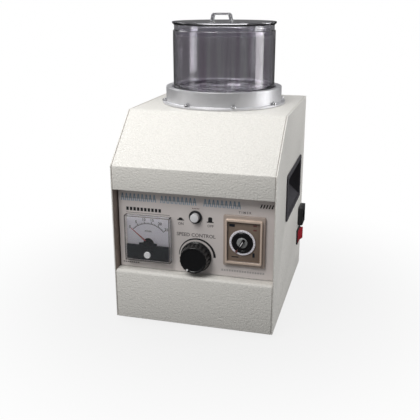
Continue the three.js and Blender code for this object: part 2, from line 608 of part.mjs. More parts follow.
function addMeter() {
  const half = METER_SIDE / 2;
  const within = half - METER_WALL - GAP; // half the width of what lies inside the cover
  const low = METER_Z - half;
  const trayFront = FITTING_BACK - METER_TRAY_T;
  const tray = block(METER_X - within, METER_X + within, trayFront, FITTING_BACK,
    METER_Z - within, METER_Z + within);
  const barrelEnd = FITTING_BACK + METER_BARREL_LEN;
  const barrel = rod("Y", [METER_X, METER_Z], METER_BARREL_R, FITTING_BACK - 0.2, barrelEnd, HALF_ROUND);
  add("meter_body", tray.add(barrel), MATERIAL.blackPlastic);

  const maskZ = low + METER_WALL + GAP;
  const maskTop = low + METER_WALL + METER_MASK_H;
  const pivotZ = maskTop + METER_PIVOT_RISE;
  const dialFront = trayFront - GAP - METER_DIAL_T;
  const windowR = 7; // the opening behind the needle's pivot
  const windowArc = Array.from({ length: 9 }, (_, i) => {
    const angle = (i / 8) * Math.PI;
    return [METER_X + windowR * Math.cos(angle), pivotZ + windowR * Math.sin(angle)];
  });
  const window = [[METER_X - windowR, pivotZ - 5], [METER_X + windowR, pivotZ - 5], ...windowArc];
  const plate = block(METER_X - within, METER_X + within, dialFront, dialFront + METER_DIAL_T,
    maskZ, METER_Z + within);
  add("meter_dial", plate.subtract(prism("Y", window, dialFront - 1, trayFront)), MATERIAL.dial);

  const needleBack = dialFront - GAP;
  const tail = 5;
  const needleOutline = [
    [-1.1, -tail], [1.1, -tail], [1.1, 1], [0.35, NEEDLE_LEN], [-0.35, NEEDLE_LEN], [-1.1, 1],
  ].map(([u, v]) => {
    const angle = (NEEDLE_REST * Math.PI) / 180;
    const [c, s] = [Math.cos(angle), Math.sin(angle)];
    return [METER_X + u * c + v * s, pivotZ - u * s + v * c];
  });
  const pointer = prism("Y", needleOutline, needleBack - NEEDLE_T, needleBack);
  const hub = rod("Y", [METER_X, pivotZ], 2, needleBack - NEEDLE_T - 0.4, trayFront - GAP, 16);
  add("meter_needle", pointer.add(hub), MATERIAL.needle);

  const screwAt = [METER_X, low + 9];
  const coverHole = rod("Y", screwAt, ZERO_SCREW_R + GAP, METER_FRONT - 1, METER_FRONT + METER_WALL + 1);
  const shell = block(METER_X - half, METER_X + half, METER_FRONT, FITTING_BACK, low, low + METER_SIDE);
  const space = block(METER_X - half + METER_WALL, METER_X + half - METER_WALL, METER_FRONT + METER_WALL,
    FITTING_BACK + 1, low + METER_WALL, low + METER_SIDE - METER_WALL);
  add("meter_cover", shell.subtract(space).subtract(coverHole), MATERIAL.clear);

  const maskFront = METER_FRONT + METER_WALL + GAP;
  const mask = block(METER_X - within, METER_X + within, maskFront, maskFront + MASK_T, maskZ, maskTop);
  const maskHole = rod("Y", screwAt, 2 + GAP, maskFront - 1, maskFront + MASK_T + 1, 16);
  add("meter_mask", mask.subtract(maskHole), MATERIAL.blackPlastic);
  const head = rod("Y", screwAt, ZERO_SCREW_R, METER_FRONT - 1.2, maskFront - GAP);
  const stem = rod("Y", screwAt, 2, METER_FRONT, maskFront + MASK_T, 16);
  const groove = block(METER_X - 0.5, METER_X + 0.5, METER_FRONT - 2, METER_FRONT - 0.4, low, low + 20);
  add("meter_zero_screw", head.add(stem).subtract(groove), MATERIAL.white);
}

// ---------------------------------------------------------------- switch, speed control and timer
function addPowerSwitch() {
  const axis = [SWITCH_X, SWITCH_Z];
  const bezelFront = FITTING_BACK - SWITCH_BEZEL_T;
  const bore = BUTTON_R + GAP;
  const back = RECESS + 26;
  const boreEnd = RECESS + 14;
  const body = turned("Y", axis, [
    [0, back], [SWITCH_BARREL_R, back], [SWITCH_BARREL_R, FITTING_BACK], [SWITCH_BEZEL_R, FITTING_BACK],
    [SWITCH_BEZEL_R, bezelFront + 0.6], [SWITCH_BEZEL_R - 0.6, bezelFront], [bore, bezelFront],
    [bore, boreEnd], [0, boreEnd],
  ]);
  add("power_switch", body, MATERIAL.blackPlastic);
  const buttonFront = bezelFront - BUTTON_PROUD;
  add("power_button", turned("Y", axis, [
    [0, buttonFront], [BUTTON_R - 0.8, buttonFront], [BUTTON_R, buttonFront + 0.8],
    [BUTTON_R, boreEnd - BUTTON_TRAVEL - 1], [0, boreEnd - BUTTON_TRAVEL - 1],
  ]), MATERIAL.white);
}

function addSpeedControl() {
  const axis = [KNOB_X, KNOB_Z];
  const back = RECESS + SHEET + GAP;
  const bush = POT_SHAFT_R + 1;
  const bushFront = FITTING_BACK - 2;
  const can = ring("Y", axis, POT_SHAFT_R + GAP / 3, POT_R, back, back + POT_T);
  const bushing = ring("Y", axis, POT_SHAFT_R + GAP / 3, bush, bushFront, back + 1);
  const nut = ring("Y", axis, bush - 0.1, 6, bushFront + 0.2, FITTING_BACK, 6);
  add("speed_potentiometer", union([can, bushing, nut]), MATERIAL.steel);
  const front = -KNOB_PROUD;
  add("speed_shaft", rod("Y", axis, POT_SHAFT_R, front + 5, back + POT_T - 1), MATERIAL.steel);
  const skirtBack = FITTING_BACK - 0.7;
  const body = turned("Y", axis, [
    [0, front + 0.8], [KNOB_FRONT_R - 2, front + 0.8], [KNOB_FRONT_R - 1.2, front],
    [KNOB_FRONT_R - 0.6, front], [KNOB_FRONT_R, front + 0.8], [KNOB_R, skirtBack - 3],
    [KNOB_SKIRT_R, skirtBack - 2.4], [KNOB_SKIRT_R, skirtBack], [9, skirtBack], [9, skirtBack - 4],
    [POT_SHAFT_R + GAP, skirtBack - 4], [POT_SHAFT_R + GAP, front + 4], [0, front + 4],
  ], HALF_ROUND);
  const flutes = around(KNOB_FLUTES, KNOB_R + 0.9, 180 / KNOB_FLUTES).map(([x, z]) => (
    rod("Y", [KNOB_X + x, KNOB_Z + z], KNOB_FLUTE_R, front - 1, skirtBack - 3.4, 5)));
  add("speed_knob", flutes.reduce((all, f) => all.subtract(f), body), MATERIAL.blackPlastic);
}

const TIMER_FACE = FITTING_BACK - 3.4; // front of the timer's face, set back inside its frame

function addTimer() {
  const flangeT = 3;
  const rimT = 6.5;
  const opening = prism("Y", rectangle(TIMER_X, TIMER_Z, TIMER_W + 2 * GAP, TIMER_H + 2 * GAP),
    FITTING_BACK - 20, FITTING_BACK + 1);
  const flange = prism("Y", rectangle(TIMER_X, TIMER_Z, TIMER_FRAME_W, TIMER_FRAME_H, 1.5),
    FITTING_BACK - flangeT, FITTING_BACK);
  const rim = prism("Y", rectangle(TIMER_X, TIMER_Z, TIMER_RIM_W, TIMER_RIM_H, 1.5),
    FITTING_BACK - rimT, FITTING_BACK - 1);
  add("timer_frame", flange.add(rim).subtract(opening), MATERIAL.bronze);
  const dialX = TIMER_X + TIMER_DIAL_DX;
  const dialZ = TIMER_Z + TIMER_DIAL_DZ;
  const body = block(TIMER_X - TIMER_W / 2, TIMER_X + TIMER_W / 2, TIMER_FACE, TIMER_FACE + TIMER_LEN,
    TIMER_Z - TIMER_H / 2, TIMER_Z + TIMER_H / 2);
  const scaleRing = ring("Y", [dialX, dialZ], TIMER_DIAL_R + GAP, TIMER_DIAL_R + 2.8, TIMER_FACE - 1.2,
    TIMER_FACE + 0.5, HALF_ROUND);
  const spindleHole = rod("Y", [dialX, dialZ], 2 + GAP, TIMER_FACE - 1, TIMER_FACE + 6, 16);
  add("timer_body", body.add(scaleRing).subtract(spindleHole), MATERIAL.bronze);
  const disc = turned("Y", [dialX, dialZ], [
    [0, TIMER_FACE - 3], [TIMER_DIAL_R - 1, TIMER_FACE - 3], [TIMER_DIAL_R, TIMER_FACE - 2],
    [TIMER_DIAL_R, TIMER_FACE - GAP], [2, TIMER_FACE - GAP], [2, TIMER_FACE + 5], [0, TIMER_FACE + 5],
  ], HALF_ROUND);
  const bar = block(-1.8, 1.8, TIMER_FACE - 7, TIMER_FACE - 2, -9, 9).rotate([0, 30, 0])
    .translate([dialX, 0, dialZ]);
  add("timer_dial", disc.add(bar), MATERIAL.blackPlastic);
}

// ---------------------------------------------------------------- right side: rocker and power inlet
function addRocker() {
  const face = CASE_W / 2;
  const out = face + ROCKER_PROUD;
  const holeL = ROCKER_L / 2 - ROCKER_FRAME_W;
  const holeH = ROCKER_H / 2 - ROCKER_FRAME_W;
  const [at, size] = [[ROCKER_Y, ROCKER_Z], [ROCKER_L, ROCKER_H]];
  const flange = prism("X", rectangle(...at, ...size, 1.5), face + GAP, out);
  const back = face - ROCKER_BODY_DEPTH;
  const box = behindFlange(back, face + GAP + 0.5, at, size, CUTOUT_LIP + GAP);
  const well = behindFlange(face - 8, out + 1, at, size, ROCKER_FRAME_W);
  add("rocker_housing", flange.add(box).subtract(well), MATERIAL.blackPlastic);
  // The paddle is drawn level about its pivot, then tipped to its off position.
  const halfL = holeL - 0.9;
  const pivotX = face - 0.5;
  const level = prism("Z", [
    [-4, -halfL + 3], [1, -halfL], [5, -halfL], [3, 0], [5, halfL], [1, halfL], [-4, halfL - 3],
  ], ROCKER_Z - holeH + GAP, ROCKER_Z + holeH - GAP);
  const tipped = level.rotate([0, 0, -ROCKER_TILT]).translate([pivotX, ROCKER_Y, 0]);
  add("rocker_paddle", tipped, MATERIAL.red);
}

function addPowerInlet() {
  const face = CASE_W / 2;
  const out = face + INLET_PROUD;
  const back = face - INLET_BODY_DEPTH;
  const collar = prism("X", rectangle(INLET_Y, INLET_Z, INLET_L, INLET_H, 1), face + GAP, out);
  const body = behindFlange(back, face + 1, [INLET_Y, INLET_Z], [INLET_L, INLET_H], CUTOUT_LIP + GAP);
  const floor = back + 3;
  const cut = 4; // the two cut corners that key the plug
  const [y0, y1] = [INLET_Y - SOCKET_L / 2, INLET_Y + SOCKET_L / 2];
  const [z0, z1] = [INLET_Z - SOCKET_H / 2, INLET_Z + SOCKET_H / 2];
  const socket = prism("X", [
    [y0, z0], [y1, z0], [y1, z1 - cut], [y1 - cut, z1], [y0 + cut, z1], [y0, z1 - cut],
  ], floor, out + 1);
  const pins = { live: [-7, -2], earth: [0, 2.5], neutral: [7, -2] };
  let housing = collar.add(body).subtract(socket);
  for (const [name, [dy, dz]] of Object.entries(pins)) {
    const blade = (grow, x0, x1) => {
      const [l, h] = [1 + grow, 2 + grow];
      return block(x0, x1, INLET_Y + dy - l, INLET_Y + dy + l, INLET_Z + dz - h, INLET_Z + dz + h);
    };
    housing = housing.subtract(blade(GAP, back - 1, floor + 1));
    add(`inlet_pin_${name}`, blade(0, back - 4, out - PIN_RECESS), MATERIAL.brass);
  }
  add("power_inlet", housing, MATERIAL.blackPlastic);
}

// ---------------------------------------------------------------- power supply on the floor
const SUPPLY_Z = FLOOR + SHEET + GAP;
const SUPPLY_MARGIN = 12.4; // from the inside of the side panels
const CORE_L = 64;
const CORE_D = 42;
const CORE_H = 54;
const COIL_BULGE = 7; // past the core, to the front and the back
const CORE_X0 = SUPPLY_MARGIN - HALF_IN;
const BOARD_GAP = 14; // between the transformer and the board
const BOARD_D = 56;
const BOARD_LIFT = 12;

function addTransformer() {
  const limb = CORE_L / 6;
  const windowW = CORE_L / 4;
  const [x0, x1, z] = [CORE_X0, CORE_X0 + CORE_L, SUPPLY_Z];
  const [y0, y1] = [TUB_Y - CORE_D / 2, TUB_Y + CORE_D / 2];
  const windows = [x0 + limb, x1 - limb - windowW].map((x) => (
    block(x, x + windowW, y0 - 1, y1 + 1, z + limb, z + CORE_H - limb)));
  const core = block(x0, x1, y0, y1, z, z + CORE_H).subtract(windows[0]).subtract(windows[1]);
  add("transformer_core", core, MATERIAL.steel);
  const coil = block(x0 + limb + GAP, x1 - limb - GAP, y0 - COIL_BULGE, y1 + COIL_BULGE,
    z + limb + GAP, z + CORE_H - limb - GAP);
  const legX0 = x0 + limb + windowW - GAP;
  const legX1 = x1 - limb - windowW + GAP;
  const leg = block(legX0, legX1, y0 - GAP, y1 + GAP, z - 1, z + CORE_H + 1);
  add("transformer_coil", coil.subtract(leg), MATERIAL.brass);
}

function addControlBoard() {
  const z = SUPPLY_Z + BOARD_LIFT;
  const [x0, x1] = [CORE_X0 + CORE_L + BOARD_GAP, HALF_IN - SUPPLY_MARGIN - 2];
  const [y0, y1] = [TUB_Y - BOARD_D / 2, TUB_Y + BOARD_D / 2];
  const board = block(x0, x1, y0, y1, z, z + SHEET);
  const corner = 5;
  const legs = rectangle((x0 + x1) / 2, TUB_Y, x1 - x0 - 2 * corner, BOARD_D - 2 * corner)
    .map((at) => rod("Z", at, 3, SUPPLY_Z, z + 0.5, 6));
  const capacitors = [[20, 16, 8, 22], [36, 20, 5, 16], [51, 14, 6, 12]].map(([x, y, r, h]) => (
    rod("Z", [x0 + x, y0 + y], r, z + 1, z + SHEET + h)));
  add("circuit_board", union([board, ...legs, ...capacitors]), MATERIAL.board);
  const finPitch = 6;
  const finT = 1.6;
  const fins = 6;
  const base = z + SHEET + GAP;
  const [hx, hy] = [x1 - 40, y1 - 26];
  const sinkEnd = hx + (fins - 1) * finPitch + finT;
  const blades = Array.from({ length: fins }, (_, i) => (
    block(hx + i * finPitch, hx + i * finPitch + finT, hy, y1 - 2, base, base + 24)));
  add("heat_sink", union([block(hx, sinkEnd, hy, y1 - 2, base, base + 3), ...blades]), MATERIAL.aluminium);
}

addSidePanels();
addTopCover();
addBaseTray();
addRearPanel();
addControlPanel();
addFeet();
addHandHolds();
addSeat();
addTubAndLid();
addMotor();
addMagnetDisc();
addMotorFrame();
addMeter();
addPowerSwitch();
addSpeedControl();
addTimer();
addRocker();
addPowerInlet();
addTransformer();
addControlBoard();

// The origin is the middle of the footprint, side fittings and knob included.
const lowX = -CASE_W / 2 - POCKET_PROUD;
const highX = CASE_W / 2 + INLET_PROUD;
machine.position.set(-(lowX + highX) / 2, -(CASE_D - KNOB_PROUD) / 2, 0);

export default machine;
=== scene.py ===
# %% [markdown]
# # A magnetic barrel finisher
# A clear tub stands in a turned aluminium ring on a painted steel cabinet. Under it a motor spins
# a disc of magnets, which stirs steel pins in the tub and so polishes small metalwork. The CAD
# model already holds every piece in its right place, so this lesson is about surfaces: which
# pieces need a finer mesh, and how each finish is made from nodes.

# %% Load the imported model
import json
import math

import bmesh
import bpy
from mathutils import Matrix, Vector


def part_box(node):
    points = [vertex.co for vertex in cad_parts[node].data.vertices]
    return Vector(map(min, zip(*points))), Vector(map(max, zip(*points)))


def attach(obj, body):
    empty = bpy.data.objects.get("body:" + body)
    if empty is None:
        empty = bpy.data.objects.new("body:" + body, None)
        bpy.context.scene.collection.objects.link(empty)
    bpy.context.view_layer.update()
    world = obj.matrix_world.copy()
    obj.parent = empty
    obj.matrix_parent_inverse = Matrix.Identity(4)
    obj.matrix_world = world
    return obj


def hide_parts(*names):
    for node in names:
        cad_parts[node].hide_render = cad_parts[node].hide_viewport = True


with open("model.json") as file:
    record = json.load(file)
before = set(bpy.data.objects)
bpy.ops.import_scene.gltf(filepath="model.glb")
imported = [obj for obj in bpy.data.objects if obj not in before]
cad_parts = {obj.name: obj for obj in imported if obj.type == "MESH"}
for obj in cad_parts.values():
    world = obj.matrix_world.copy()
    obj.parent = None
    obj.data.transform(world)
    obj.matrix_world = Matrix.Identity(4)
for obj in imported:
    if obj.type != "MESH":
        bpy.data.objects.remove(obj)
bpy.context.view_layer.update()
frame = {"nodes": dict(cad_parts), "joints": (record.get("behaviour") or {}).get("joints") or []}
nodes = frame["nodes"]

# %% [markdown]
# Sizes are easier to read in millimetres from the middle of the cabinet's front, at table height.
# One helper turns such a place into the model's own metres, and everything below uses it.

# %% A ruler for the cabinet
MM = 0.001
left_sheet, right_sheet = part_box("side_panel_left"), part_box("side_panel_right")
MIDDLE_X = (left_sheet[0][0] + right_sheet[1][0]) / 2
FRONT_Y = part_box("base_tray")[0][1]


def at(x, y, z):
    return Vector((MIDDLE_X + x * MM, FRONT_Y + y * MM, z * MM))


def low_of(node, along):
    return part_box(node)[0]["XYZ".index(along)]


def high_of(node, along):
    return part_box(node)[1]["XYZ".index(along)]


def size_of(node, along):
    return (high_of(node, along) - low_of(node, along)) / MM


def round_size(node, along):
    return size_of(node, "X") / 2, size_of(node, along)


def centre_of(node):
    low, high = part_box(node)
    return (Vector(low) + Vector(high)) / 2


print("cabinet width in mm:", round((right_sheet[1][0] - left_sheet[0][0]) / MM, 1))

# %% [markdown]
# The camera stands a little to the right and above, like someone at the bench. It is made first
# because the fine detail only has to hold up at the distance it is seen from.

# %% The camera
def show(thing):
    bpy.context.scene.collection.objects.link(thing)


def spin(degrees, axis):
    return Matrix.Rotation(math.radians(degrees), 4, axis)


def aimed(place, aim):
    return Matrix.Translation(place) @ (aim - place).to_track_quat("-Z", "Y").to_matrix().to_4x4()


lens = bpy.data.cameras.new("bench_view")
lens.sensor_width = 36.0
lens.lens = 56.0
lens.clip_start = 0.01
camera = bpy.data.objects.new("bench_view", lens)
camera.matrix_world = aimed(at(208.3, -694.3, 391.1), at(-9.0, 119.0, 117.4))
show(camera)
bpy.context.scene.camera = camera
bpy.context.scene.view_settings.view_transform = "Standard"

# %% [markdown]
# ## Shared effects
# Each shared effect is a node group with its own sockets: the crinkled grain of the paint, cloudy
# variation for anything handled, the rings that a lathe tool leaves, and the upright streaks that
# liquid leaves on a tub's wall. A group only puts out numbers. The shader stays in the material.


# %% A node group with sockets
def new_group(name, inputs, outputs):
    tree = bpy.data.node_groups.new(name, "ShaderNodeTree")
    for label, value in inputs.items():
        socket = tree.interface.new_socket(label, in_out="INPUT", socket_type="NodeSocketFloat")
        socket.default_value = value
    for label in outputs:
        tree.interface.new_socket(label, in_out="OUTPUT", socket_type="NodeSocketFloat")
    return tree, tree.nodes.new("NodeGroupInput").outputs, tree.nodes.new("NodeGroupOutput").inputs


def join(tree, value, socket):
    if isinstance(value, bpy.types.NodeSocket):
        tree.links.new(value, socket)
    else:
        socket.default_value = value


def new_node(tree, kind, inputs, **settings):
    node = tree.nodes.new(kind)
    for label, value in settings.items():
        setattr(node, label, value)
    for key, value in inputs.items():
        join(tree, value, node.inputs[key])
    return node


def math_node(tree, operation, *values):
    return new_node(tree, "ShaderNodeMath", dict(enumerate(values)), operation=operation).outputs[0]


def times(tree, first, second):
    return math_node(tree, "MULTIPLY", first, second)


def noise_node(tree, vector, scale, detail=3.0, roughness=0.55):
    return new_node(tree, "ShaderNodeTexNoise", {
        "Vector": vector, "Scale": scale, "Detail": detail, "Roughness": roughness}).outputs


def object_place(tree):
    return tree.nodes.new("ShaderNodeTexCoord").outputs["Object"]


def from_axis(tree, place, given, second="Y"):
    parts = new_node(tree, "ShaderNodeSeparateXYZ", {0: place}).outputs
    legs = [math_node(tree, "SUBTRACT", parts[letter], given["Axis " + letter]) for letter in ("X", second)]
    squares = [times(tree, leg, leg) for leg in legs]
    return parts, *legs, math_node(tree, "SQRT", math_node(tree, "ADD", *squares))


# %% Crinkle grain, clouds, lathe rings and streaks
def make_crinkle():
    tree, given, out = new_group("crinkle", {"Cells per metre": 480.0}, ["Height", "Tone"])
    place = object_place(tree)
    bend = noise_node(tree, place, 900.0, 1.0)["Color"]
    shift = new_node(tree, "ShaderNodeVectorMath", {0: bend, 1: (0.0012, 0.0012, 0.0012), 2: place},
                     operation="MULTIPLY_ADD")
    cells = new_node(tree, "ShaderNodeTexVoronoi", {
        "Smoothness": 0.35, "Vector": shift.outputs[0], "Scale": given["Cells per metre"]},
        feature="SMOOTH_F1")
    fine = noise_node(tree, place, 2600.0, 2.0)["Fac"]
    dome = math_node(tree, "SUBTRACT", 1.0, cells.outputs["Distance"])
    join(tree, math_node(tree, "MULTIPLY_ADD", fine, 0.18, dome), out["Height"])
    # The second output darkens the valleys of the grain: painted shade.
    join(tree, math_node(tree, "POWER", dome, 1.6), out["Tone"])
    return tree


def make_clouds():
    tree, given, out = new_group("clouds", {"Size per metre": 30.0, "Least": 0.0, "Most": 1.0}, ["Value"])
    wide = noise_node(tree, object_place(tree), given["Size per metre"], 5.0, 0.6)["Fac"]
    spread = new_node(tree, "ShaderNodeMapRange", {
        "Value": wide, "From Min": 0.32, "From Max": 0.68, "To Min": given["Least"], "To Max": given["Most"]})
    join(tree, spread.outputs["Result"], out["Value"])
    return tree


AXIS = {"Axis X": 0.0, "Axis Y": 0.0}


def make_lathe_rings():
    tree, given, out = new_group("lathe_rings", {**AXIS, "Rings per metre": 1500.0}, ["Height"])
    parts, _, _, radius = from_axis(tree, object_place(tree), given)
    travel = math_node(tree, "ADD", radius, parts["Z"])
    rings = times(tree, travel, given["Rings per metre"])
    line = new_node(tree, "ShaderNodeTexNoise", {"Detail": 3.0, "Scale": 1.0, "W": rings},
                    noise_dimensions="1D")
    join(tree, line.outputs["Fac"], out["Height"])
    return tree


def make_streaks():
    tree, given, out = new_group("streaks", {**AXIS, "Streaks": 9.0}, ["Value"])
    parts, across, along, radius = from_axis(tree, object_place(tree), given)
    place = new_node(tree, "ShaderNodeCombineXYZ", {"Z": times(tree, parts["Z"], 4.0)})
    for socket, part in (("X", across), ("Y", along)):
        unit = math_node(tree, "DIVIDE", part, math_node(tree, "MAXIMUM", radius, 0.001))
        join(tree, times(tree, unit, given["Streaks"]), place.inputs[socket])
    smear = noise_node(tree, place.outputs[0], 1.0, 3.0, 0.5)["Fac"]
    sharpen = new_node(tree, "ShaderNodeMapRange", {"Value": smear, "From Min": 0.36, "From Max": 0.64})
    join(tree, sharpen.outputs["Result"], out["Value"])
    return tree


CRINKLE, CLOUDS, LATHE_RINGS, STREAKS = make_crinkle(), make_clouds(), make_lathe_rings(), make_streaks()
print("node groups:", [group.name for group in bpy.data.node_groups])

# %% [markdown]
# Every finish is a Principled shader whose roughness wanders a little, a colour that drifts between
# two close tones, and a bump. The numbers make one a crackle paint and another a moulded plastic.


# %% A finish from a few numbers
def group_node(tree, group, **values):
    inputs = {label.replace("_", " "): value for label, value in values.items()}
    return new_node(tree, "ShaderNodeGroup", inputs, node_tree=group).outputs


def add_bump(tree, shader, height, distance):
    bump = new_node(tree, "ShaderNodeBump", {"Height": height, "Distance": distance, "Strength": 1.0})
    join(tree, bump.outputs["Normal"], shader.inputs["Normal"])


def two_tones(tree, shader, mask, first, second):
    mix = new_node(tree, "ShaderNodeMix", {"A": (*first, 1), "B": (*second, 1), "Factor": mask},
                   data_type="RGBA")
    join(tree, mix.outputs["Result"], shader.inputs["Base Color"])


def drift(tree, shader, mask, colour, spread):
    tones = [[min(1.0, c * share) for c in colour] for share in (1 - spread, 1 + spread)]
    two_tones(tree, shader, mask, *tones)


def opened(material):
    return material.node_tree, material.node_tree.nodes["Principled BSDF"]


def new_material(name):
    made = bpy.data.materials.new(name)
    made.use_nodes = True
    return made, *opened(made)


def finish(name, colour, roughness, metallic=0.0, spread=0.05, wander=0.08, clouds=30.0, grain=None):
    made, tree, shader = new_material(name)
    shader.inputs["Metallic"].default_value = metallic
    rough = group_node(tree, CLOUDS, Size_per_metre=clouds, Least=roughness - wander, Most=roughness + wander)
    join(tree, rough["Value"], shader.inputs["Roughness"])
    tone = group_node(tree, CLOUDS, Size_per_metre=clouds * 2.3)
    drift(tree, shader, tone["Value"], colour, spread)
    if grain:
        per_metre, distance = grain
        add_bump(tree, shader, noise_node(tree, object_place(tree), per_metre, 3.0)["Fac"], distance)
    return made


# %% [markdown]
# The cabinet is powder-coated in a crinkle texture: small domes with shallow valleys between them,
# from a Voronoi pattern. They sit in the bump, and the valleys are darkened a little as painted shade.


# %% Painted sheet
def make_case_paint(name, colour, depth):
    made = finish(name, colour, 0.46, spread=0.02, wander=0.05, clouds=12.0)
    grain = group_node(made.node_tree, CRINKLE, Cells_per_metre=480.0)
    add_bump(*opened(made), grain["Height"], depth)
    # The grain's valleys get a darker tone here: painted shade.
    drift(*opened(made), grain["Tone"], colour, 0.055)
    return made


# A dark tan that is painted shade: it darkens the side panels' inner faces, where the recess walls lie in
# shadow.
RECESS_SHADE_TAN = finish("tan_primer", (0.36, 0.29, 0.25), 0.6, spread=0.12, clouds=60.0, grain=(1500.0, 0.00008))
PAINT = make_case_paint("crinkle_paint", (0.80, 0.785, 0.745), 0.0005)

# %% [markdown]
# What makes the turned ring and plate read as metal is that fine rings stretch each highlight, so
# the rings go into the bump at a very small height.


# %% Metals
def make_turned(name, colour, roughness, per_metre, depth, metallic, wander=0.05):
    made = finish(name, colour, roughness, metallic=metallic, spread=0.04, wander=wander, clouds=25.0)
    rings = group_node(made.node_tree, LATHE_RINGS, Axis_X=TUB_AXIS.x, Axis_Y=TUB_AXIS.y,
                       Rings_per_metre=per_metre)
    add_bump(*opened(made), rings["Height"], depth)
    return made


TUB_AXIS = centre_of("tub")
TURNED_ALUMINIUM = make_turned("turned_aluminium", (0.66, 0.66, 0.68), 0.46, 1900.0, 0.00006, 0.7)
SPUN_STEEL = make_turned("spun_steel", (0.62, 0.62, 0.64), 0.34, 900.0, 0.00005, 0.5, 0.2)
blotches = group_node(SPUN_STEEL.node_tree, CLOUDS, Size_per_metre=75.0)["Value"]
drift(*opened(SPUN_STEEL), blotches, (0.52, 0.52, 0.54), 0.22)
BRIGHT_STEEL = finish("bright_steel", (0.60, 0.60, 0.61), 0.28, metallic=1.0, grain=(4000.0, 0.00002))
DULL_STEEL = finish("dull_steel", (0.42, 0.42, 0.43), 0.48, metallic=1.0, spread=0.12,
                    grain=(1800.0, 0.00005))
CAST_ALUMINIUM = finish("cast_aluminium", (0.55, 0.55, 0.56), 0.5, metallic=1.0, grain=(1500.0, 0.0001))
PLAIN_BRASS = finish("plain_brass", (0.66, 0.47, 0.20), 0.3, metallic=1.0, spread=0.08,
                     grain=(3000.0, 0.00002))
MAGNET_GREY = finish("magnet_nickel", (0.30, 0.30, 0.32), 0.3, metallic=1.0, grain=(2500.0, 0.00002))

# %% [markdown]
# Mouldings differ by how shiny they are and how fine their grain is: the hand holds are spark
# textured, the knob is satin, and the button and rocker are polished.


# %% Plastics, rubber and print
def ink(name, colour, spread=0.1):
    return finish("ink_" + name, colour, 0.5, spread=spread, clouds=300.0)


BLACK_MOULDING = finish("black_moulding", (0.020, 0.020, 0.023), 0.42, wander=0.1, grain=(2600.0, 0.00006))
HOLD_BLACK = finish("hand_hold_black", (0.055, 0.053, 0.062), 0.5, wander=0.1, grain=(2600.0, 0.00006))
KNOB_BLACK = finish("knob_black", (0.008, 0.008, 0.009), 0.2, wander=0.06, grain=(3200.0, 0.00003))
METER_BLACK = finish("meter_navy", (0.004, 0.009, 0.016), 0.6, grain=(3000.0, 0.00001))
WHITE_CAP = finish("white_cap", (0.78, 0.78, 0.80), 0.24, spread=0.03, grain=(1500.0, 0.00001))
FOOT_RUBBER = finish("foot_rubber", (0.025, 0.025, 0.025), 0.8, grain=(2200.0, 0.00012))
CARD_WHITE = finish("scale_card", (0.95, 0.93, 1.0), 0.6, spread=0.02, grain=(5000.0, 0.00001))
FILM = finish("label_film", (0.66, 0.615, 0.60), 0.42, spread=0.025, wander=0.06, grain=(6000.0, 0.000012))
BRONZE = {"metallic": 0.2, "grain": (9000.0, 0.000004)}
BRONZE_RIM = finish("bronze_rim", (0.74, 0.60, 0.50), 0.34, spread=0.05, **BRONZE)
BRONZE_FLANGE = finish("bronze_flange", (0.47, 0.395, 0.35), 0.42, spread=0.05, **BRONZE)
BRONZE_FACE = finish("bronze_face", (0.26, 0.20, 0.16), 0.38, spread=0.10, **BRONZE)
PALE_SCALE = finish("pale_scale", (0.88, 0.86, 0.92), 0.34, spread=0.06, grain=(5000.0, 0.000004))
DIAL_GREY = finish("dial_grey", (0.30, 0.31, 0.31), 0.25, spread=0.2, clouds=200.0)
RED_ROCKER = finish("red_rocker", (0.36, 0.010, 0.022), 0.22, spread=0.08, grain=(1800.0, 0.00001))
NEEDLE_RED = finish("needle_red", (0.50, 0.16, 0.17), 0.4, spread=0.05)
BOARD_GREEN = finish("board_green", (0.03, 0.13, 0.05), 0.35, spread=0.2, clouds=200.0,
                     grain=(1200.0, 0.0001))
COIL_VARNISH = finish("coil_varnish", (0.42, 0.17, 0.06), 0.3, spread=0.15, clouds=400.0,
                      grain=(900.0, 0.0003))
INK_BLACK = ink("black", (0.012, 0.012, 0.014))
INK_BLUE = ink("blue", (0.24, 0.35, 0.46), 0.12)
INK_GREY = ink("grey", (0.16, 0.145, 0.145))
INK_RED = ink("red", (0.15, 0.055, 0.05))
INK_PALE = ink("pale", (0.42, 0.40, 0.395))
INK_PALE_BLUE = ink("pale_blue", (0.33, 0.41, 0.47))
INK_WHITE = ink("white", (0.80, 0.80, 0.82), 0.03)

# %% [markdown]
# Acrylic has a faint smoky tint, and handling leaves soft patches where the polish is duller. The
# tint is a plain colour on the shader, and only the roughness wanders. The tub's wall has streaks,
# and its floor is scuffed by the pins, so patches of it let less light through.


# %% Clear acrylic
def make_clear(name, tint, roughness, most):
    made, tree, shader = new_material(name)
    patches = group_node(tree, CLOUDS, Size_per_metre=45.0, Least=roughness, Most=most)
    for label, value in (("Base Color", (*tint, 1)), ("Transmission Weight", 1.0), ("IOR", 1.49),
                         ("Roughness", patches["Value"])):
        join(tree, value, shader.inputs[label])
    return made


SMOKED_ACRYLIC = make_clear("smoked_acrylic", (0.88, 0.87, 0.91), 0.015, 0.05)
TUB_ACRYLIC = make_clear("streaked_acrylic", (0.88, 0.87, 0.91), 0.03, 0.12)
streaks = group_node(TUB_ACRYLIC.node_tree, STREAKS, Axis_X=TUB_AXIS.x, Axis_Y=TUB_AXIS.y)["Value"]
two_tones(*opened(TUB_ACRYLIC), streaks, (0.97, 0.98, 1.0), (0.80, 0.74, 0.82))
SCUFFED_ACRYLIC = make_clear("scuffed_acrylic", (0.80, 0.79, 0.82), 0.10, 0.45)
scuffed_tree, scuffed_shader = opened(SCUFFED_ACRYLIC)
worn = group_node(scuffed_tree, CLOUDS, Size_per_metre=52.0, Least=0.30, Most=1.0)["Value"]
join(scuffed_tree, worn, scuffed_shader.inputs["Transmission Weight"])
CLEAR_COVER = make_clear("clear_cover", (0.99, 0.99, 1.0), 0.01, 0.04)
GRIP_ACRYLIC = make_clear("handled_acrylic", (0.97, 0.97, 1.0), 0.12, 0.30)
print("finishes made:", len(bpy.data.materials))
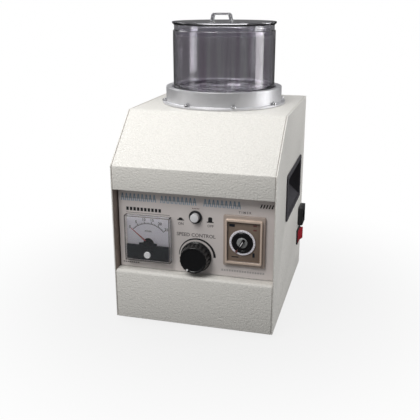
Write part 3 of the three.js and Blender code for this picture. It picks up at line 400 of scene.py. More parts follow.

# %% [markdown]
# ## Meshes
# A finished piece is one object at the origin with its place in its mesh. These helpers smooth a
# mesh except at its real edges, give it a finish, parent it to the empty of the body it moves with,
# and hide the CAD nodes it stands for.


# %% Finished pieces
def settle(piece, material, body, stands_for=()):
    piece.data.materials.clear()
    piece.data.materials.append(material)
    piece.data.shade_smooth()
    piece.data.set_sharp_from_angle(angle=math.radians(32))
    if piece.name not in bpy.context.scene.collection.objects:
        show(piece)
    for node in stands_for:
        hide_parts(node)
    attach(piece, body)
    return piece


def piece_of(name, bm):
    mesh = bpy.data.meshes.new(name)
    bm.to_mesh(mesh)
    bm.free()
    piece = bpy.data.objects.new(name, mesh)
    show(piece)
    return piece


def bake_modifiers(piece):
    bpy.context.view_layer.update()
    evaluated = piece.evaluated_get(bpy.context.evaluated_depsgraph_get())
    mesh = bpy.data.meshes.new_from_object(evaluated)
    piece.modifiers.clear()
    piece.data = mesh
    return piece


# %% [markdown]
# Sheets and mouldings are right in CAD apart from their knife-sharp edges, so a narrow bevel on a
# merged copy catches the light. Weighted normals keep the large faces flat. A slotted sheet keeps
# its triangles, because one face with eighteen holes can't be filled in again reliably. A clear
# piece is shaded flat, or a slight slant would show as a wave in what lies behind it.


# %% A CAD node with soft edges
def softened(node, width_mm, material, body, segments=3, angle=28, flat=False, slotted=False):
    bm = bmesh.new()
    bm.from_mesh(nodes[node].data)
    bmesh.ops.remove_doubles(bm, verts=bm.verts, dist=2e-6)
    if not slotted:
        bmesh.ops.dissolve_limit(bm, angle_limit=math.radians(0.6), verts=bm.verts, edges=bm.edges)
    piece = piece_of("soft_" + node, bm)
    bevel = piece.modifiers.new("soft edges", "BEVEL")
    bevel.width = width_mm * MM
    bevel.segments = segments
    bevel.limit_method = "ANGLE"
    bevel.angle_limit = math.radians(angle)
    bevel.miter_outer = "MITER_ARC"
    if not flat:
        piece.modifiers.new("flat faces", "WEIGHTED_NORMAL").keep_sharp = True
    bake_modifiers(piece)
    settle(piece, material, body, [node])
    if flat or slotted:
        piece.data.shade_flat()
    return piece


# %% [markdown]
# Round pieces are turned again with many more sides than the CAD solid has. A profile is a closed
# outline of radius and height, and each of its corners is rounded by a small arc. A narrow strip
# beside each arc keeps the shading of the long walls true, or a clear wall would bend what lies
# behind it like a lens.


# %% Turning a profile
STRIP = 0.25


def rounded_profile(profile, radius_mm, steps=4):
    points = []
    count = len(profile)
    for i, corner in enumerate(profile):
        here = Vector(corner)
        before, after = Vector(profile[i - 1]) - here, Vector(profile[(i + 1) % count]) - here
        reach = min(radius_mm, before.length * 0.45, after.length * 0.45)
        if here.x < 1e-9 or reach < 1e-6:
            points.append(here)
            continue
        start, end = here + before.normalized() * reach, here + after.normalized() * reach
        if before.length * 0.5 > reach + STRIP:
            points.append(start + before.normalized() * STRIP)
        for t in (k / steps for k in range(steps + 1)):
            points.append(start * (1 - t) ** 2 + here * 2 * t * (1 - t) + end * t * t)
        if after.length * 0.5 > reach + STRIP:
            points.append(end + after.normalized() * STRIP)
    return points


def turned(name, axis, centre, profile, radius_mm=0.5, sides=160):
    bm = bmesh.new()
    rings = []
    for point in rounded_profile(profile, radius_mm):
        if point.x < 1e-9:
            rings.append([bm.verts.new((0, 0, point.y * MM))])
            continue
        rings.append([bm.verts.new((point.x * MM * math.cos(a), point.x * MM * math.sin(a), point.y * MM))
                      for a in (2 * math.pi * k / sides for k in range(sides))])
    for lower, upper in zip(rings, rings[1:] + rings[:1]):
        for k in range(sides):
            corners = [lower[k % len(lower)], lower[(k + 1) % len(lower)],
                       upper[(k + 1) % len(upper)], upper[k % len(upper)]]
            corners = list(dict.fromkeys(corners))
            if len(corners) > 2:
                bm.faces.new(corners)
    bmesh.ops.recalc_face_normals(bm, faces=bm.faces)
    if axis == "Y":
        bm.transform(spin(-90, "X"))
    bm.transform(Matrix.Translation(centre))
    return piece_of(name, bm)


# %% [markdown]
# Printing on the label and the dials is a film of ink. Each mark is a very thin solid laid on the
# surface, so that it stays crisp from any distance and needs no image.


# %% Ink
INK = 0.04


def extruded(name, points, shift):
    bm = bmesh.new()
    face = bm.faces.new([bm.verts.new(point) for point in points])
    grown = bmesh.ops.extrude_face_region(bm, geom=[face])
    moved = [v for v in grown["geom"] if isinstance(v, bmesh.types.BMVert)]
    bmesh.ops.translate(bm, verts=moved, vec=shift)
    bmesh.ops.recalc_face_normals(bm, faces=bm.faces)
    return piece_of(name, bm)


def ink_outline(name, outline, face_y, material, body="cabinet", thick=INK):
    mark = extruded(name, [(x, face_y, z) for x, z in outline], (0, -thick * MM, 0))
    return settle(mark, material, body)


def flat_mark(name, outline_mm):
    return extruded(name, [(x * MM, y * MM, 0) for x, y in outline_mm], (0, 0, INK * MM))


def block(width, height, left=0.0):
    return [(left, -height / 2), (left + width, -height / 2), (left + width, height / 2), (left, height / 2)]


def arc_points(x, z, start, end, radius_mm, end_radius_mm, steps=48):
    points = []
    for share in (k / steps for k in range(steps + 1)):
        angle = start + (end - start) * share
        radius = (radius_mm + (end_radius_mm - radius_mm) * share) * MM
        points.append((x + radius * math.sin(angle), z + radius * math.cos(angle)))
    return points


def ink_text(name, words, height_mm, x, z, face_y, material, slot_name="black_plastic"):
    curve = bpy.data.curves.new(name, "FONT")
    curve.body = words
    curve.size = height_mm * MM * 1.35
    curve.align_x = "CENTER"
    curve.align_y = "CENTER"
    curve.extrude = INK * MM / 2
    curve.offset = 0.03 * height_mm * MM
    curve.resolution_u = 3
    source = bpy.data.objects.new(name + "_curve", curve)
    show(source)
    bpy.context.view_layer.update()
    mesh = bpy.data.meshes.new_from_object(source.evaluated_get(bpy.context.evaluated_depsgraph_get()))
    bpy.data.objects.remove(source)
    mesh.transform(Matrix.Translation((x, face_y, z)) @ spin(90, "X"))
    return settle(bpy.data.objects.new(name, mesh), material, "cabinet")


# %% [markdown]
# What repeats along a circle, an arc or a line is set out by Geometry Nodes: the piece's own mesh
# is one copy. Instances are made real at the end, because an export would drop them.


# %% Geometry Nodes for repeats
def repeat_tree(name, numbers):
    tree = bpy.data.node_groups.new(name, "GeometryNodeTree")
    inputs = {"Copy": "Geometry", "Count": "Int", **dict.fromkeys(numbers, "Float"), "Finish": "Material"}
    for label, kind in inputs.items():
        tree.interface.new_socket(label, in_out="INPUT", socket_type="NodeSocket" + kind)
    tree.interface.new_socket("Geometry", in_out="OUTPUT", socket_type="NodeSocketGeometry")
    return tree, tree.nodes.new("NodeGroupInput").outputs


def end_tree(tree, given, points, **turned_by):
    copies = new_node(tree, "GeometryNodeInstanceOnPoints", {
        "Points": points, "Instance": given["Copy"], **turned_by})
    real = new_node(tree, "GeometryNodeRealizeInstances", {0: copies.outputs[0]})
    paint = new_node(tree, "GeometryNodeSetMaterial", {
        "Geometry": real.outputs[0], "Material": given["Finish"]})
    new_node(tree, "NodeGroupOutput", {0: paint.outputs[0]})
    return tree


def make_arc_tree():
    tree, given = repeat_tree("copies_on_an_arc", ["Radius", "Start", "Step"])
    line = new_node(tree, "GeometryNodeMeshLine", {"Count": given["Count"]})
    index = tree.nodes.new("GeometryNodeInputIndex").outputs[0]
    angle = math_node(tree, "MULTIPLY_ADD", index, given["Step"], given["Start"])
    place = tree.nodes.new("ShaderNodeCombineXYZ")
    for socket, operation in (("X", "COSINE"), ("Y", "SINE")):
        part = math_node(tree, operation, angle)
        join(tree, times(tree, part, given["Radius"]), place.inputs[socket])
    spread = new_node(tree, "GeometryNodeSetPosition", {
        "Geometry": line.outputs[0], "Position": place.outputs[0]})
    turn = new_node(tree, "ShaderNodeCombineXYZ", {"Z": angle})
    return end_tree(tree, given, spread.outputs[0], Rotation=turn.outputs[0])


def make_row_tree():
    tree, given = repeat_tree("copies_in_a_row", ["Spacing"])
    step = new_node(tree, "ShaderNodeCombineXYZ", {"X": given["Spacing"]})
    line = new_node(tree, "GeometryNodeMeshLine", {"Count": given["Count"], "Offset": step.outputs[0]})
    return end_tree(tree, given, line.outputs[0])


ARC_TREE, ROW_TREE = make_arc_tree(), make_row_tree()

def give_sizes(modifier, tree, **values):
    modifier.node_group = tree
    for item in tree.interface.items_tree:
        label = item.name.replace(" ", "_")
        if item.in_out == "INPUT" and label in values:
            modifier[item.identifier] = values[label]


def repeated(piece, tree, placing, material, **values):
    give_sizes(piece.modifiers.new(tree.name, "NODES"), tree, Finish=material, **values)
    bake_modifiers(piece)
    piece.data.transform(placing)
    return piece


def cut_with(piece, cutter, name):
    cut = piece.modifiers.new(name, "BOOLEAN")
    cut.operation = "DIFFERENCE"
    cut.solver = "EXACT"
    cut.object = cutter
    bake_modifiers(piece)
    bpy.data.objects.remove(cutter)


FACING_FRONT = spin(90, "X")
print("repeat trees:", ARC_TREE.name, ROW_TREE.name)

# %% [markdown]
# ## The cabinet
# Six folded sheets. They keep their CAD shape and get a bevel of under a millimetre, as a folded
# and powder-coated edge has. The side panels' inner faces get a dark tan that is painted shade,
# standing in for the shadow on the walls at both ends of the recess.

# %% Sheets
for sheet, width in (("side_panel_left", 0.7), ("side_panel_right", 0.7), ("top_cover", 0.8),
                     ("base_tray", 0.6), ("rear_panel", 0.5), ("control_panel", 0.4)):
    made = softened(sheet, width, PAINT, "cabinet", slotted=sheet == "rear_panel")
    # The inner faces of the side panels get the dark tan painted shade.
    if sheet.startswith("side"):
        made.data.materials.append(RECESS_SHADE_TAN)
        side = 1 if sheet.endswith("right") else -1
        for face in made.data.polygons:
            face.material_index = int(face.normal.x * side < -0.9)

# %% Hand holds, rocker and inlet
for moulding, width, black in (("hand_hold_left", 0.6, HOLD_BLACK), ("hand_hold_right", 0.6, HOLD_BLACK),
                               ("rocker_housing", 0.5, BLACK_MOULDING), ("power_inlet", 0.5, BLACK_MOULDING)):
    softened(moulding, width, black, "cabinet")
softened("rocker_paddle", 0.7, RED_ROCKER, "rocker", angle=12)
for pin in ("live", "earth", "neutral"):
    softened("inlet_pin_" + pin, 0.4, PLAIN_BRASS, "cabinet")

# %% [markdown]
# ## Ring, tub and lid
# The ring is the machine's brightest part. Its flange is held by eight screws, each in a pocket
# milled into the foot of the ring, so the pockets are cut by a boolean from one mesh of eight
# cutters that the arc tree sets out.

# %% The ring with its pockets
RING_R, RING_BORE_R, FLANGE_T = 76.4, 68.0, 2.4
REBATE_R, REBATE_H = 72.3, 1.3
FILLET, RIM_CHAMFER = 0.6, 1.0
SCREWS, SCREW_CIRCLE_R = 8, 78.9
POCKET_R, POCKET_H = 3.7, 4.5
FLANGE_R, RING_H = round_size("seat_ring", "Z")


def on_tub_axis(node, lift_mm=0.0):
    return Vector((TUB_AXIS.x, TUB_AXIS.y, low_of(node, "Z") + lift_mm * MM))


def puck(radius, height):
    return [(0, 0), (radius, 0), (radius, height), (0, height)]


def around_the_ring(piece, lift_mm, material):
    placing = Matrix.Translation(on_tub_axis("seat_ring", lift_mm))
    return repeated(piece, ARC_TREE, placing, material, Count=SCREWS, Radius=SCREW_CIRCLE_R * MM,
                    Start=math.pi / SCREWS, Step=2 * math.pi / SCREWS)


ring = turned("ring_turned", "Z", on_tub_axis("seat_ring"), [
    (RING_BORE_R, REBATE_H), (REBATE_R, REBATE_H), (REBATE_R, 0), (FLANGE_R, 0), (FLANGE_R, FLANGE_T),
    (RING_R + FILLET, FLANGE_T), (RING_R, FLANGE_T + FILLET), (RING_R, RING_H),
    (RING_BORE_R + RIM_CHAMFER, RING_H), (RING_BORE_R, RING_H - RIM_CHAMFER)], 0.5, 256)
cutter = turned("pocket_cutter", "Z", Vector((0, 0, 0)), puck(POCKET_R, POCKET_H), 0.6, 40)
cut_with(ring, around_the_ring(cutter, FLANGE_T, TURNED_ALUMINIUM), "pockets")
settle(ring, TURNED_ALUMINIUM, "cabinet", ["seat_ring"])
print("ring vertices:", len(ring.data.vertices))


# %% [markdown]
# A cap screw is a short knurled head with a hexagonal socket. One is modelled, and the arc tree
# makes the eight of the ring. The same screw in a larger row holds the rear panel.

# %% One socket screw, and the rings of them
def socket_screw(name, head_r, head_h):
    bm = bmesh.new()
    socket_r, depth = head_r * 0.52, head_h * 0.6
    levels = [(head_r, 0, 0), (head_r, head_h * 0.78, 0), (head_r * 0.9, head_h, 0),
              (socket_r * 1.15, head_h, 0), (socket_r, head_h, 1), (socket_r, head_h - depth, 1)]
    sides = 24
    rings = []
    for radius, height, hexagon in levels:
        ring_of_points = []
        for k in range(sides):
            a = 2 * math.pi * k / sides
            flat = math.cos(math.pi / 6) / math.cos((a % (math.pi / 3)) - math.pi / 6) if hexagon else 1
            ring_of_points.append(bm.verts.new((radius * flat * MM * math.cos(a),
                                                radius * flat * MM * math.sin(a), height * MM)))
        rings.append(ring_of_points)
    for lower, upper in zip(rings, rings[1:]):
        for k in range(sides):
            bm.faces.new((lower[k], lower[(k + 1) % sides], upper[(k + 1) % sides], upper[k]))
    bm.faces.new(list(reversed(rings[0])))
    bm.faces.new(rings[-1])
    bmesh.ops.recalc_face_normals(bm, faces=bm.faces)
    return piece_of(name, bm)


ring_screws = around_the_ring(socket_screw("ring_screws", 2.9, 2.6), FLANGE_T + 0.05, BRIGHT_STEEL)
settle(ring_screws, BRIGHT_STEEL, "cabinet")

# %% [markdown]
# The tub and lid are turned from their CAD sizes. The tub's rim and heel are rounded, which is
# where clear plastic gathers its bright lines.

# %% Tub, lid and the plate under them
TUB_R, TUB_H = round_size("tub", "Z")
TUB_WALL, TUB_FLOOR, TUB_CORNER = 3.0, 16.0, 8.0
TUB_IN = TUB_R - TUB_WALL
SCUFFS_END = on_tub_axis("tub", 30.0).z
corner = [(TUB_IN - TUB_CORNER * (1 - math.cos(a)), TUB_FLOOR + TUB_CORNER * (1 - math.sin(a)))
          for a in (math.pi / 2 * k / 9 for k in range(10))]
tub = turned("tub_turned", "Z", on_tub_axis("tub"), [
    (0, 0), (TUB_R, 0), (TUB_R, TUB_H), (TUB_IN, TUB_H), *corner, (0, TUB_FLOOR)], 1.2, 192)
settle(tub, TUB_ACRYLIC, "tub", ["tub"])
tub.data.materials.append(SCUFFED_ACRYLIC)
for face in tub.data.polygons:
    face.material_index = int(face.normal.z > 0.9 and face.center.z < SCUFFS_END)

LID_R, LID_H = round_size("lid", "Z")
LID_PLUG, LID_COLLAR, LID_WALL, LID_EDGE = 6.0, 7.0, 2.5, 0.6
plug_r, collar_r, plate_z = TUB_IN - 0.5, TUB_R - TUB_WALL / 2, LID_PLUG + LID_COLLAR
lid = turned("lid_turned", "Z", on_tub_axis("lid"), [
    (0, plate_z), (plug_r - LID_WALL, plate_z), (plug_r - LID_WALL, 0), (plug_r, 0), (plug_r, LID_PLUG),
    (collar_r, LID_PLUG), (collar_r, plate_z - LID_EDGE), (LID_R - LID_EDGE, plate_z + 1.0),
    (LID_R, LID_H - LID_EDGE), (LID_R - LID_EDGE, LID_H), (0, LID_H)], 0.5, 192)
settle(lid, SMOKED_ACRYLIC, "lid", ["lid"])
softened("lid_handle", 0.8, GRIP_ACRYLIC, "lid", segments=4, flat=True)

seat = puck(*round_size("seat_plate", "Z"))
plate = turned("seat_plate_spun", "Z", on_tub_axis("seat_plate"), seat, 0.2, 160)
settle(plate, SPUN_STEEL, "cabinet", ["seat_plate"])
print("tub radius and height in mm:", round(TUB_R, 1), round(TUB_H, 1))

# %% [markdown]
# ## Feet and rear screws
# The rubber feet are short turned pucks. The rear panel is held by socket screws in two columns,
# set out by the row tree, which is then turned to face the back.

# %% Feet, and screws on the rear panel
for node in ("foot_front_left", "foot_front_right", "foot_rear_left", "foot_rear_right"):
    foot_r, foot_h = round_size(node, "Z")
    middle = centre_of(node)
    middle.z = low_of(node, "Z")
    foot = turned(node.replace("foot", "foot_turned"), "Z", middle, [
        (0, 0.4), (3, 0.4), (3.6, 0), (foot_r - 1.5, 0), (foot_r, 1.5),
        (foot_r, foot_h), (0, foot_h)], 0.4, 96)
    settle(foot, FOOT_RUBBER, "cabinet", [node])

REAR_ROWS, COLUMN_INSET, LOWEST_ROW, LEFT_FREE = 3, 9, 15, 50
column_x = size_of("rear_panel", "X") / 2 * MM - COLUMN_INSET * MM
row_step = (size_of("rear_panel", "Z") - LEFT_FREE) * MM / (REAR_ROWS - 1)
rear_y, first_z = high_of("rear_panel", "Y") + 0.02 * MM, low_of("rear_panel", "Z") + LOWEST_ROW * MM
for name, x in (("left", -column_x), ("right", column_x)):
    placing = (Matrix.Translation((MIDDLE_X + x, rear_y, first_z))
               @ spin(-90, "X") @ spin(-90, "Z"))
    screws = repeated(socket_screw("rear_screws_" + name, 2.4, 1.6), ROW_TREE, placing, BRIGHT_STEEL,
                      Count=REAR_ROWS, Spacing=row_step)
    settle(screws, BRIGHT_STEEL, "cabinet")
print("rear screws:", 2 * REAR_ROWS)

# %% [markdown]
# ## The label
# The film label carries the names of the controls, two pictograms for the push button and a
# swelling arc round the speed knob. The arc is drawn by a formula: its inner edge is a circle and
# its thickness grows with the angle.

# %% Film label and its legends
label_y = low_of("panel_label", "Y") - 0.01 * MM
for slot in nodes["panel_label"].material_slots:
    slot.material = FILM


def on_panel(x, z):
    place = at(x, 0, z)
    return place.x, place.z


def panel_block(name, x, z, width, height, material, face_y=label_y):
    cx, cz = on_panel(x, z)
    outline = [(cx + right * MM, cz + up * MM) for right, up in block(width, height, -width / 2)]
    return ink_outline(name, outline, face_y, material)


def millimetres_of(node):
    centre = centre_of(node)
    return (centre.x - MIDDLE_X) / MM, centre.z / MM


SWITCH, KNOB = centre_of("power_button"), centre_of("speed_knob")
switch_x, switch_z = millimetres_of("power_button")
timer_x, _ = millimetres_of("timer_frame")
timer_y = low_of("timer_frame", "Y")
timer_top, timer_foot = high_of("timer_frame", "Z") / MM, low_of("timer_frame", "Z") / MM
for name, words, x, z, height in (("legend_on", "ON", switch_x - 18.6, switch_z - 10.3, 3.3),
                                  ("legend_off", "OFF", switch_x + 18.3, switch_z - 10.3, 3.3),
                                  ("legend_speed", "SPEED CONTROL", switch_x + 0.2, switch_z - 23.6, 4.6),
                                  ("legend_timer", "T I M E R", timer_x, timer_top + 3.4, 2.9)):
    ink_text(name, words, height, *on_panel(x, z), label_y, INK_GREY)


def pictogram(name, x, z, rise, steps=10):
    brim, dome_r, dome_h, thick = 4.2, 2.6, 1.6, 1.2
    dome = [(dome_r * math.cos(math.pi * k / steps), rise + dome_h * math.sin(math.pi * k / steps))
            for k in range(steps + 1)]
    outline = [(-brim, -thick), (brim, -thick), (brim, 0), (dome_r, 0), *dome, (-dome_r, 0), (-brim, 0)]
    cx, cz = on_panel(x, z)
    ink_outline(name, [(cx + right * MM, cz + up * MM) for right, up in outline], label_y, INK_BLACK)


pictogram("pictogram_pressed", switch_x - 18.8, switch_z - 4.8, 0.8)
pictogram("pictogram_out", switch_x + 17.9, switch_z - 4.8, 4.2)

QUARTER = math.pi / 2
SWELL_R, SWELL_THIN, SWELL_THICK = 21.2, 0.9, 3.0
inner_edge = arc_points(KNOB.x, KNOB.z, -QUARTER, QUARTER, SWELL_R, SWELL_R, 72)
outer_edge = arc_points(KNOB.x, KNOB.z, -QUARTER, QUARTER, SWELL_R + SWELL_THIN, SWELL_R + SWELL_THICK, 72)
ink_outline("speed_arc", inner_edge + outer_edge[::-1], label_y, INK_BLACK)

# %% [markdown]
# Where a maker would print its names, this label has plain ornament: slanted strokes along the
# top, a row of small squares over the meter, and rows of blocks where notes would be.


# %% Ornament in place of names
def printed_row(name, outline_mm, count, spacing, x, z, material):
    cx, cz = on_panel(x, z)
    placing = Matrix.Translation((cx, label_y, cz)) @ FACING_FRONT
    mark = flat_mark(name, outline_mm)
    row = repeated(mark, ROW_TREE, placing, material, Count=count, Spacing=spacing * MM)
    return settle(row, material, "cabinet")


STROKES = {
    "strip_up_": ([(0, -4.6), (1.0, -4.6), (2.5, 4.6), (1.5, 4.6)], INK_BLUE),
    "strip_down_": ([(1.7, 4.6), (2.8, 4.6), (4.4, -4.6), (3.3, -4.6)], INK_BLUE),
    "strip_bar_": ([(0.2, -1.1), (4.2, -1.1), (4.0, 0.1), (0.4, 0.1)], INK_PALE_BLUE),
}
label_top = high_of("panel_label", "Z") / MM
for word, start in (("left", -93.0), ("middle", -42.6), ("right", 11.2)):
    for stroke, (outline, ink) in STROKES.items():
        printed_row(stroke + word, outline, 9, 5.1, start, label_top - 10.6, ink)
DASH = [(0, -2.4), (1.5, -2.4), (3.2, 2.4), (1.7, 2.4)]
printed_row("corner_dashes", DASH, 5, 3.3, 79, label_top - 9.6, INK_BLACK)
meter_x, _ = millimetres_of("meter_cover")
meter_top, meter_foot = high_of("meter_cover", "Z") / MM, low_of("meter_cover", "Z") / MM
printed_row("meter_squares", block(3.2, 4.4), 10, 4.6, meter_x - 28.5, meter_top + 6.6, INK_BLACK)
panel_block("meter_rule", meter_x - 1, meter_top + 1.8, 56, 0.6, INK_GREY)
printed_row("meter_note", block(1.9, 1.5), 8, 2.7, meter_x - 35, meter_foot - 5.6, INK_GREY)
printed_row("switch_note", block(1.2, 1.0), 5, 1.9, switch_x - 4.2, switch_z + 10.2, INK_RED)
printed_row("timer_note_row", block(2.2, 2.6), 17, 3.15, timer_x - 28, timer_foot - 8.0, INK_PALE)

# %% [markdown]
# ## Push button and speed knob
# The button is a crowned white cap in a black bezel. The knob's grip follows a rule: twenty round
# flutes, deepest between two ribs. A Geometry Nodes tree pushes the wall in by a cosine of the
# angle, raised to a power so that the ribs stay broader than the flutes.

# %% Button and bezel
def in_front(centre, y):
    return Vector((centre.x, y, centre.z))


bezel_r, bezel_depth = round_size("power_switch", "Y")
button_r, button_depth = round_size("power_button", "Y")
bore_r, bore_end, body_r, bezel_t = button_r + 0.3, 17.1, 6.8, 2.0
bezel = turned("switch_bezel", "Y", in_front(SWITCH, low_of("power_switch", "Y")), [
    (bore_r, 0), (bezel_r, 0), (bezel_r, bezel_t), (body_r, bezel_t), (body_r, bezel_depth), (0, bezel_depth),
    (0, bore_end), (bore_r, bore_end)], 0.45, 96)
settle(bezel, BLACK_MOULDING, "cabinet", ["power_switch"])
cap = turned("button_cap", "Y", in_front(SWITCH, low_of("power_button", "Y")), [
    (0, 0), (button_r * 0.5, 0.12), (button_r - 0.2, 0.5), (button_r, 1.2), (button_r, button_depth),
    (0, button_depth)], 0.8, 96)
settle(cap, WHITE_CAP, "power_button", ["power_button"])


# %% The fluted knob
def make_flute_tree():
    tree = bpy.data.node_groups.new("fluted_grip", "GeometryNodeTree")
    tree.interface.new_socket("Geometry", in_out="INPUT", socket_type="NodeSocketGeometry")
    for label in ("Flutes", "Depth", "Least radius", "Back", "Axis X", "Axis Z"):
        tree.interface.new_socket(label, in_out="INPUT", socket_type="NodeSocketFloat")
    tree.interface.new_socket("Geometry", in_out="OUTPUT", socket_type="NodeSocketGeometry")
    given = tree.nodes.new("NodeGroupInput").outputs
    place = tree.nodes.new("GeometryNodeInputPosition").outputs[0]
    parts, across, up, radius = from_axis(tree, place, given, "Z")
    turns = times(tree, math_node(tree, "ARCTAN2", up, across), given["Flutes"])
    wave = math_node(tree, "MULTIPLY_ADD", math_node(tree, "COSINE", turns), 0.5, 0.5)
    flute = times(tree, math_node(tree, "POWER", wave, 2.2), given["Depth"])
    outside = math_node(tree, "GREATER_THAN", radius, given["Least radius"])
    ahead = math_node(tree, "LESS_THAN", parts["Y"], given["Back"])
    depth = times(tree, times(tree, outside, ahead), flute)
    share = math_node(tree, "DIVIDE", depth, math_node(tree, "MAXIMUM", radius, 0.001))
    pull = times(tree, share, -1.0)
    offset = new_node(tree, "ShaderNodeCombineXYZ", {
        "X": times(tree, across, pull), "Z": times(tree, up, pull)})
    move = new_node(tree, "GeometryNodeSetPosition", {
        "Geometry": given["Geometry"], "Offset": offset.outputs[0]})
    new_node(tree, "NodeGroupOutput", {0: move.outputs[0]})
    return tree


knob_y = low_of("speed_knob", "Y")
skirt_r, knob_depth = round_size("speed_knob", "Y")
grip_back, spigot_r, shaft_r = knob_depth - 3.0, 9, 3.3
knob = turned("speed_knob_fluted", "Y", in_front(KNOB, knob_y), [
    (0, 0.8), (13.8, 0.8), (14.4, 0.1), (15.8, 0.0), (16.7, 0.9), (18.1, grip_back),
    (skirt_r, grip_back + 0.6), (skirt_r, knob_depth), (spigot_r, knob_depth),
    (spigot_r, knob_depth - 4), (shaft_r, knob_depth - 4), (shaft_r, 7), (0, 7)], 0.4, 320)
give_sizes(knob.modifiers.new("flutes", "NODES"), make_flute_tree(), Flutes=20.0, Depth=1.1 * MM,
           Least_radius=16.4 * MM, Back=knob_y + (grip_back - 0.4) * MM, Axis_X=KNOB.x, Axis_Z=KNOB.z)
bake_modifiers(knob)
settle(knob, KNOB_BLACK, "speed_knob", ["speed_knob"])
DOT_ANGLE, DOT_OUT = math.radians(210), 14.6 * MM
to_dot = Vector((math.sin(DOT_ANGLE), -0.05 * MM / DOT_OUT, math.cos(DOT_ANGLE))) * DOT_OUT
dot_place = in_front(KNOB, knob_y) + to_dot
dot = turned("knob_dot", "Y", dot_place, [(0, 0), (1.25, 0.05), (1.25, 0.7), (0, 0.7)], 0.15, 32)
settle(dot, INK_WHITE, "speed_knob")
print("knob faces:", len(knob.data.polygons))

# %% [markdown]
# ## The meter
# A moving-coil meter under a clear cover: a printed card, a needle on a pivot and a dark mask over
# the works. The needle is at zero, and its pivot is the joint's own place, so that the scale's
# arc and the needle share one centre.

# %% Cover, card, mask and needle
softened("meter_cover", 0.7, CLEAR_COVER, "cabinet", flat=True)
softened("meter_dial", 0.1, CARD_WHITE, "cabinet")
softened("meter_mask", 0.3, METER_BLACK, "cabinet")
softened("meter_needle", 0.08, NEEDLE_RED, "meter_needle")
softened("meter_body", 0.3, BLACK_MOULDING, "cabinet")
def joint_place(name):
    return Vector(next(joint["pos_m"] for joint in frame["joints"] if joint["name"] == name))


PIVOT = joint_place("needle_swing")
card_y = low_of("meter_dial", "Y") - 0.01 * MM
SWING, SCALE_R, NUMBERS_OUT = math.radians(100), 25.5, 5.2
edges = [arc_points(PIVOT.x, PIVOT.z, -SWING / 2, SWING / 2, r, r) for r in (SCALE_R - 0.3, SCALE_R + 0.5)]
ink_outline("scale_arc", edges[0] + edges[1][::-1], card_y, INK_GREY)
for name, count, length, width in (("ticks_short", 26, 1.8, 0.34), ("ticks_long", 6, 3.0, 0.7)):
    placing = Matrix.Translation((PIVOT.x, card_y, PIVOT.z)) @ FACING_FRONT
    ticks = repeated(flat_mark(name, block(length, width)), ARC_TREE, placing, INK_BLACK, Count=count,
                     Radius=SCALE_R * MM, Start=QUARTER - SWING / 2, Step=SWING / (count - 1))
    settle(ticks, INK_BLACK, "cabinet")
number_r = SCALE_R + NUMBERS_OUT
for k, (x, z) in enumerate(arc_points(PIVOT.x, PIVOT.z, -SWING / 2, SWING / 2, number_r, number_r, 5)):
    ink_text(f"number_{k}", str(5 * k), 3.5, x, z, card_y, INK_BLACK, "dial_card")
ink_text("unit", "r/min", 3.0, PIVOT.x, PIVOT.z + 16 * MM, card_y, INK_GREY, "dial_card")

# %% [markdown]
# The pivot shows as a black half-disc on a short bar that stands behind the mask's upper edge. The
# white disc in the mask is the zero screw. Its slot is cut by a boolean, because it has to be
# deep enough to hold a screwdriver.

# %% Pivot cover and zero screw
COVER_R, COVER_DROP, BAR_HALF, BAR_H = 6.4, 1.6, 11.5 * MM, 2.2 * MM
bar_foot = high_of("meter_mask", "Z") + 0.15 * MM
bar_top = bar_foot + BAR_H
half_disc = arc_points(PIVOT.x, PIVOT.z - COVER_DROP * MM, QUARTER, -QUARTER, COVER_R, COVER_R, 24)
pivot_cover = [(PIVOT.x - BAR_HALF, bar_foot), (PIVOT.x + BAR_HALF, bar_foot), (PIVOT.x + BAR_HALF, bar_top),
               *[point for point in half_disc if point[1] > bar_top], (PIVOT.x - BAR_HALF, bar_top)]
ink_outline("pivot_cover", pivot_cover, low_of("meter_needle", "Y") - 0.3 * MM, METER_BLACK, thick=1.2)
zero_r, zero_depth = round_size("meter_zero_screw", "Y")
zero_place = in_front(centre_of("meter_zero_screw"), low_of("meter_zero_screw", "Y"))
screw = turned("zero_screw_turned", "Y", zero_place, [
    (0, 0), (zero_r, 0), (zero_r, 2.7), (2, 2.7), (2, zero_depth), (0, zero_depth)], 0.5, 72)
slot_shape = spin(-40, "Y") @ Matrix.Diagonal((1.0 * MM, 1.8 * MM, 20 * MM, 1))
slot_mesh = bmesh.new()
bmesh.ops.create_cube(slot_mesh, size=1.0, matrix=Matrix.Translation(zero_place) @ slot_shape)
cut_with(screw, piece_of("slot_cutter", slot_mesh), "slot")
settle(screw, WHITE_CAP, "zero_screw", ["meter_zero_screw"])

# %% [markdown]
# ## The timer
# A plug-in timer with a bronze-toned front: a bright rim, a darker face set back in it, a pale
# scale ring and a dark dial with a finger bar. A white strip along the bar is a painted highlight,
# and the ring carries a red pointer.

# %% Timer rim, face and dial
FLANGE_BACK = 3.2
timer_frame = softened("timer_frame", 0.8, BRONZE_RIM, "cabinet")
timer_frame.data.materials.append(BRONZE_FLANGE)
for face in timer_frame.data.polygons:
    face.material_index = int(face.center.y > timer_y + FLANGE_BACK * MM)
softened("timer_body", 0.3, BRONZE_FACE, "cabinet")
DIAL = joint_place("timer_turn")
face_y = low_of("timer_body", "Y") + 1.2 * MM
dial_r = size_of("timer_dial", "X") / 2
disc_front = face_y - 3.0 * MM
disc = turned("timer_disc", "Y", in_front(DIAL, disc_front), [
    (0, 0.6), (dial_r - 3.4, 0.6), (dial_r - 3.0, 0), (dial_r - 0.8, 0), (dial_r, 0.8), (dial_r, 2.7),
    (2, 2.7), (2, 8), (0, 8)], 0.3, 128)
settle(disc, KNOB_BLACK, "timer_dial", ["timer_dial"])
scale_ring = turned("timer_scale_ring", "Y", in_front(DIAL, face_y - 1.75 * MM), [
    (dial_r + 0.35, 0), (dial_r + 2.6, 0), (dial_r + 2.9, 0.5), (dial_r + 0.35, 0.5)], 0.15, 128)
settle(scale_ring, PALE_SCALE, "cabinet")


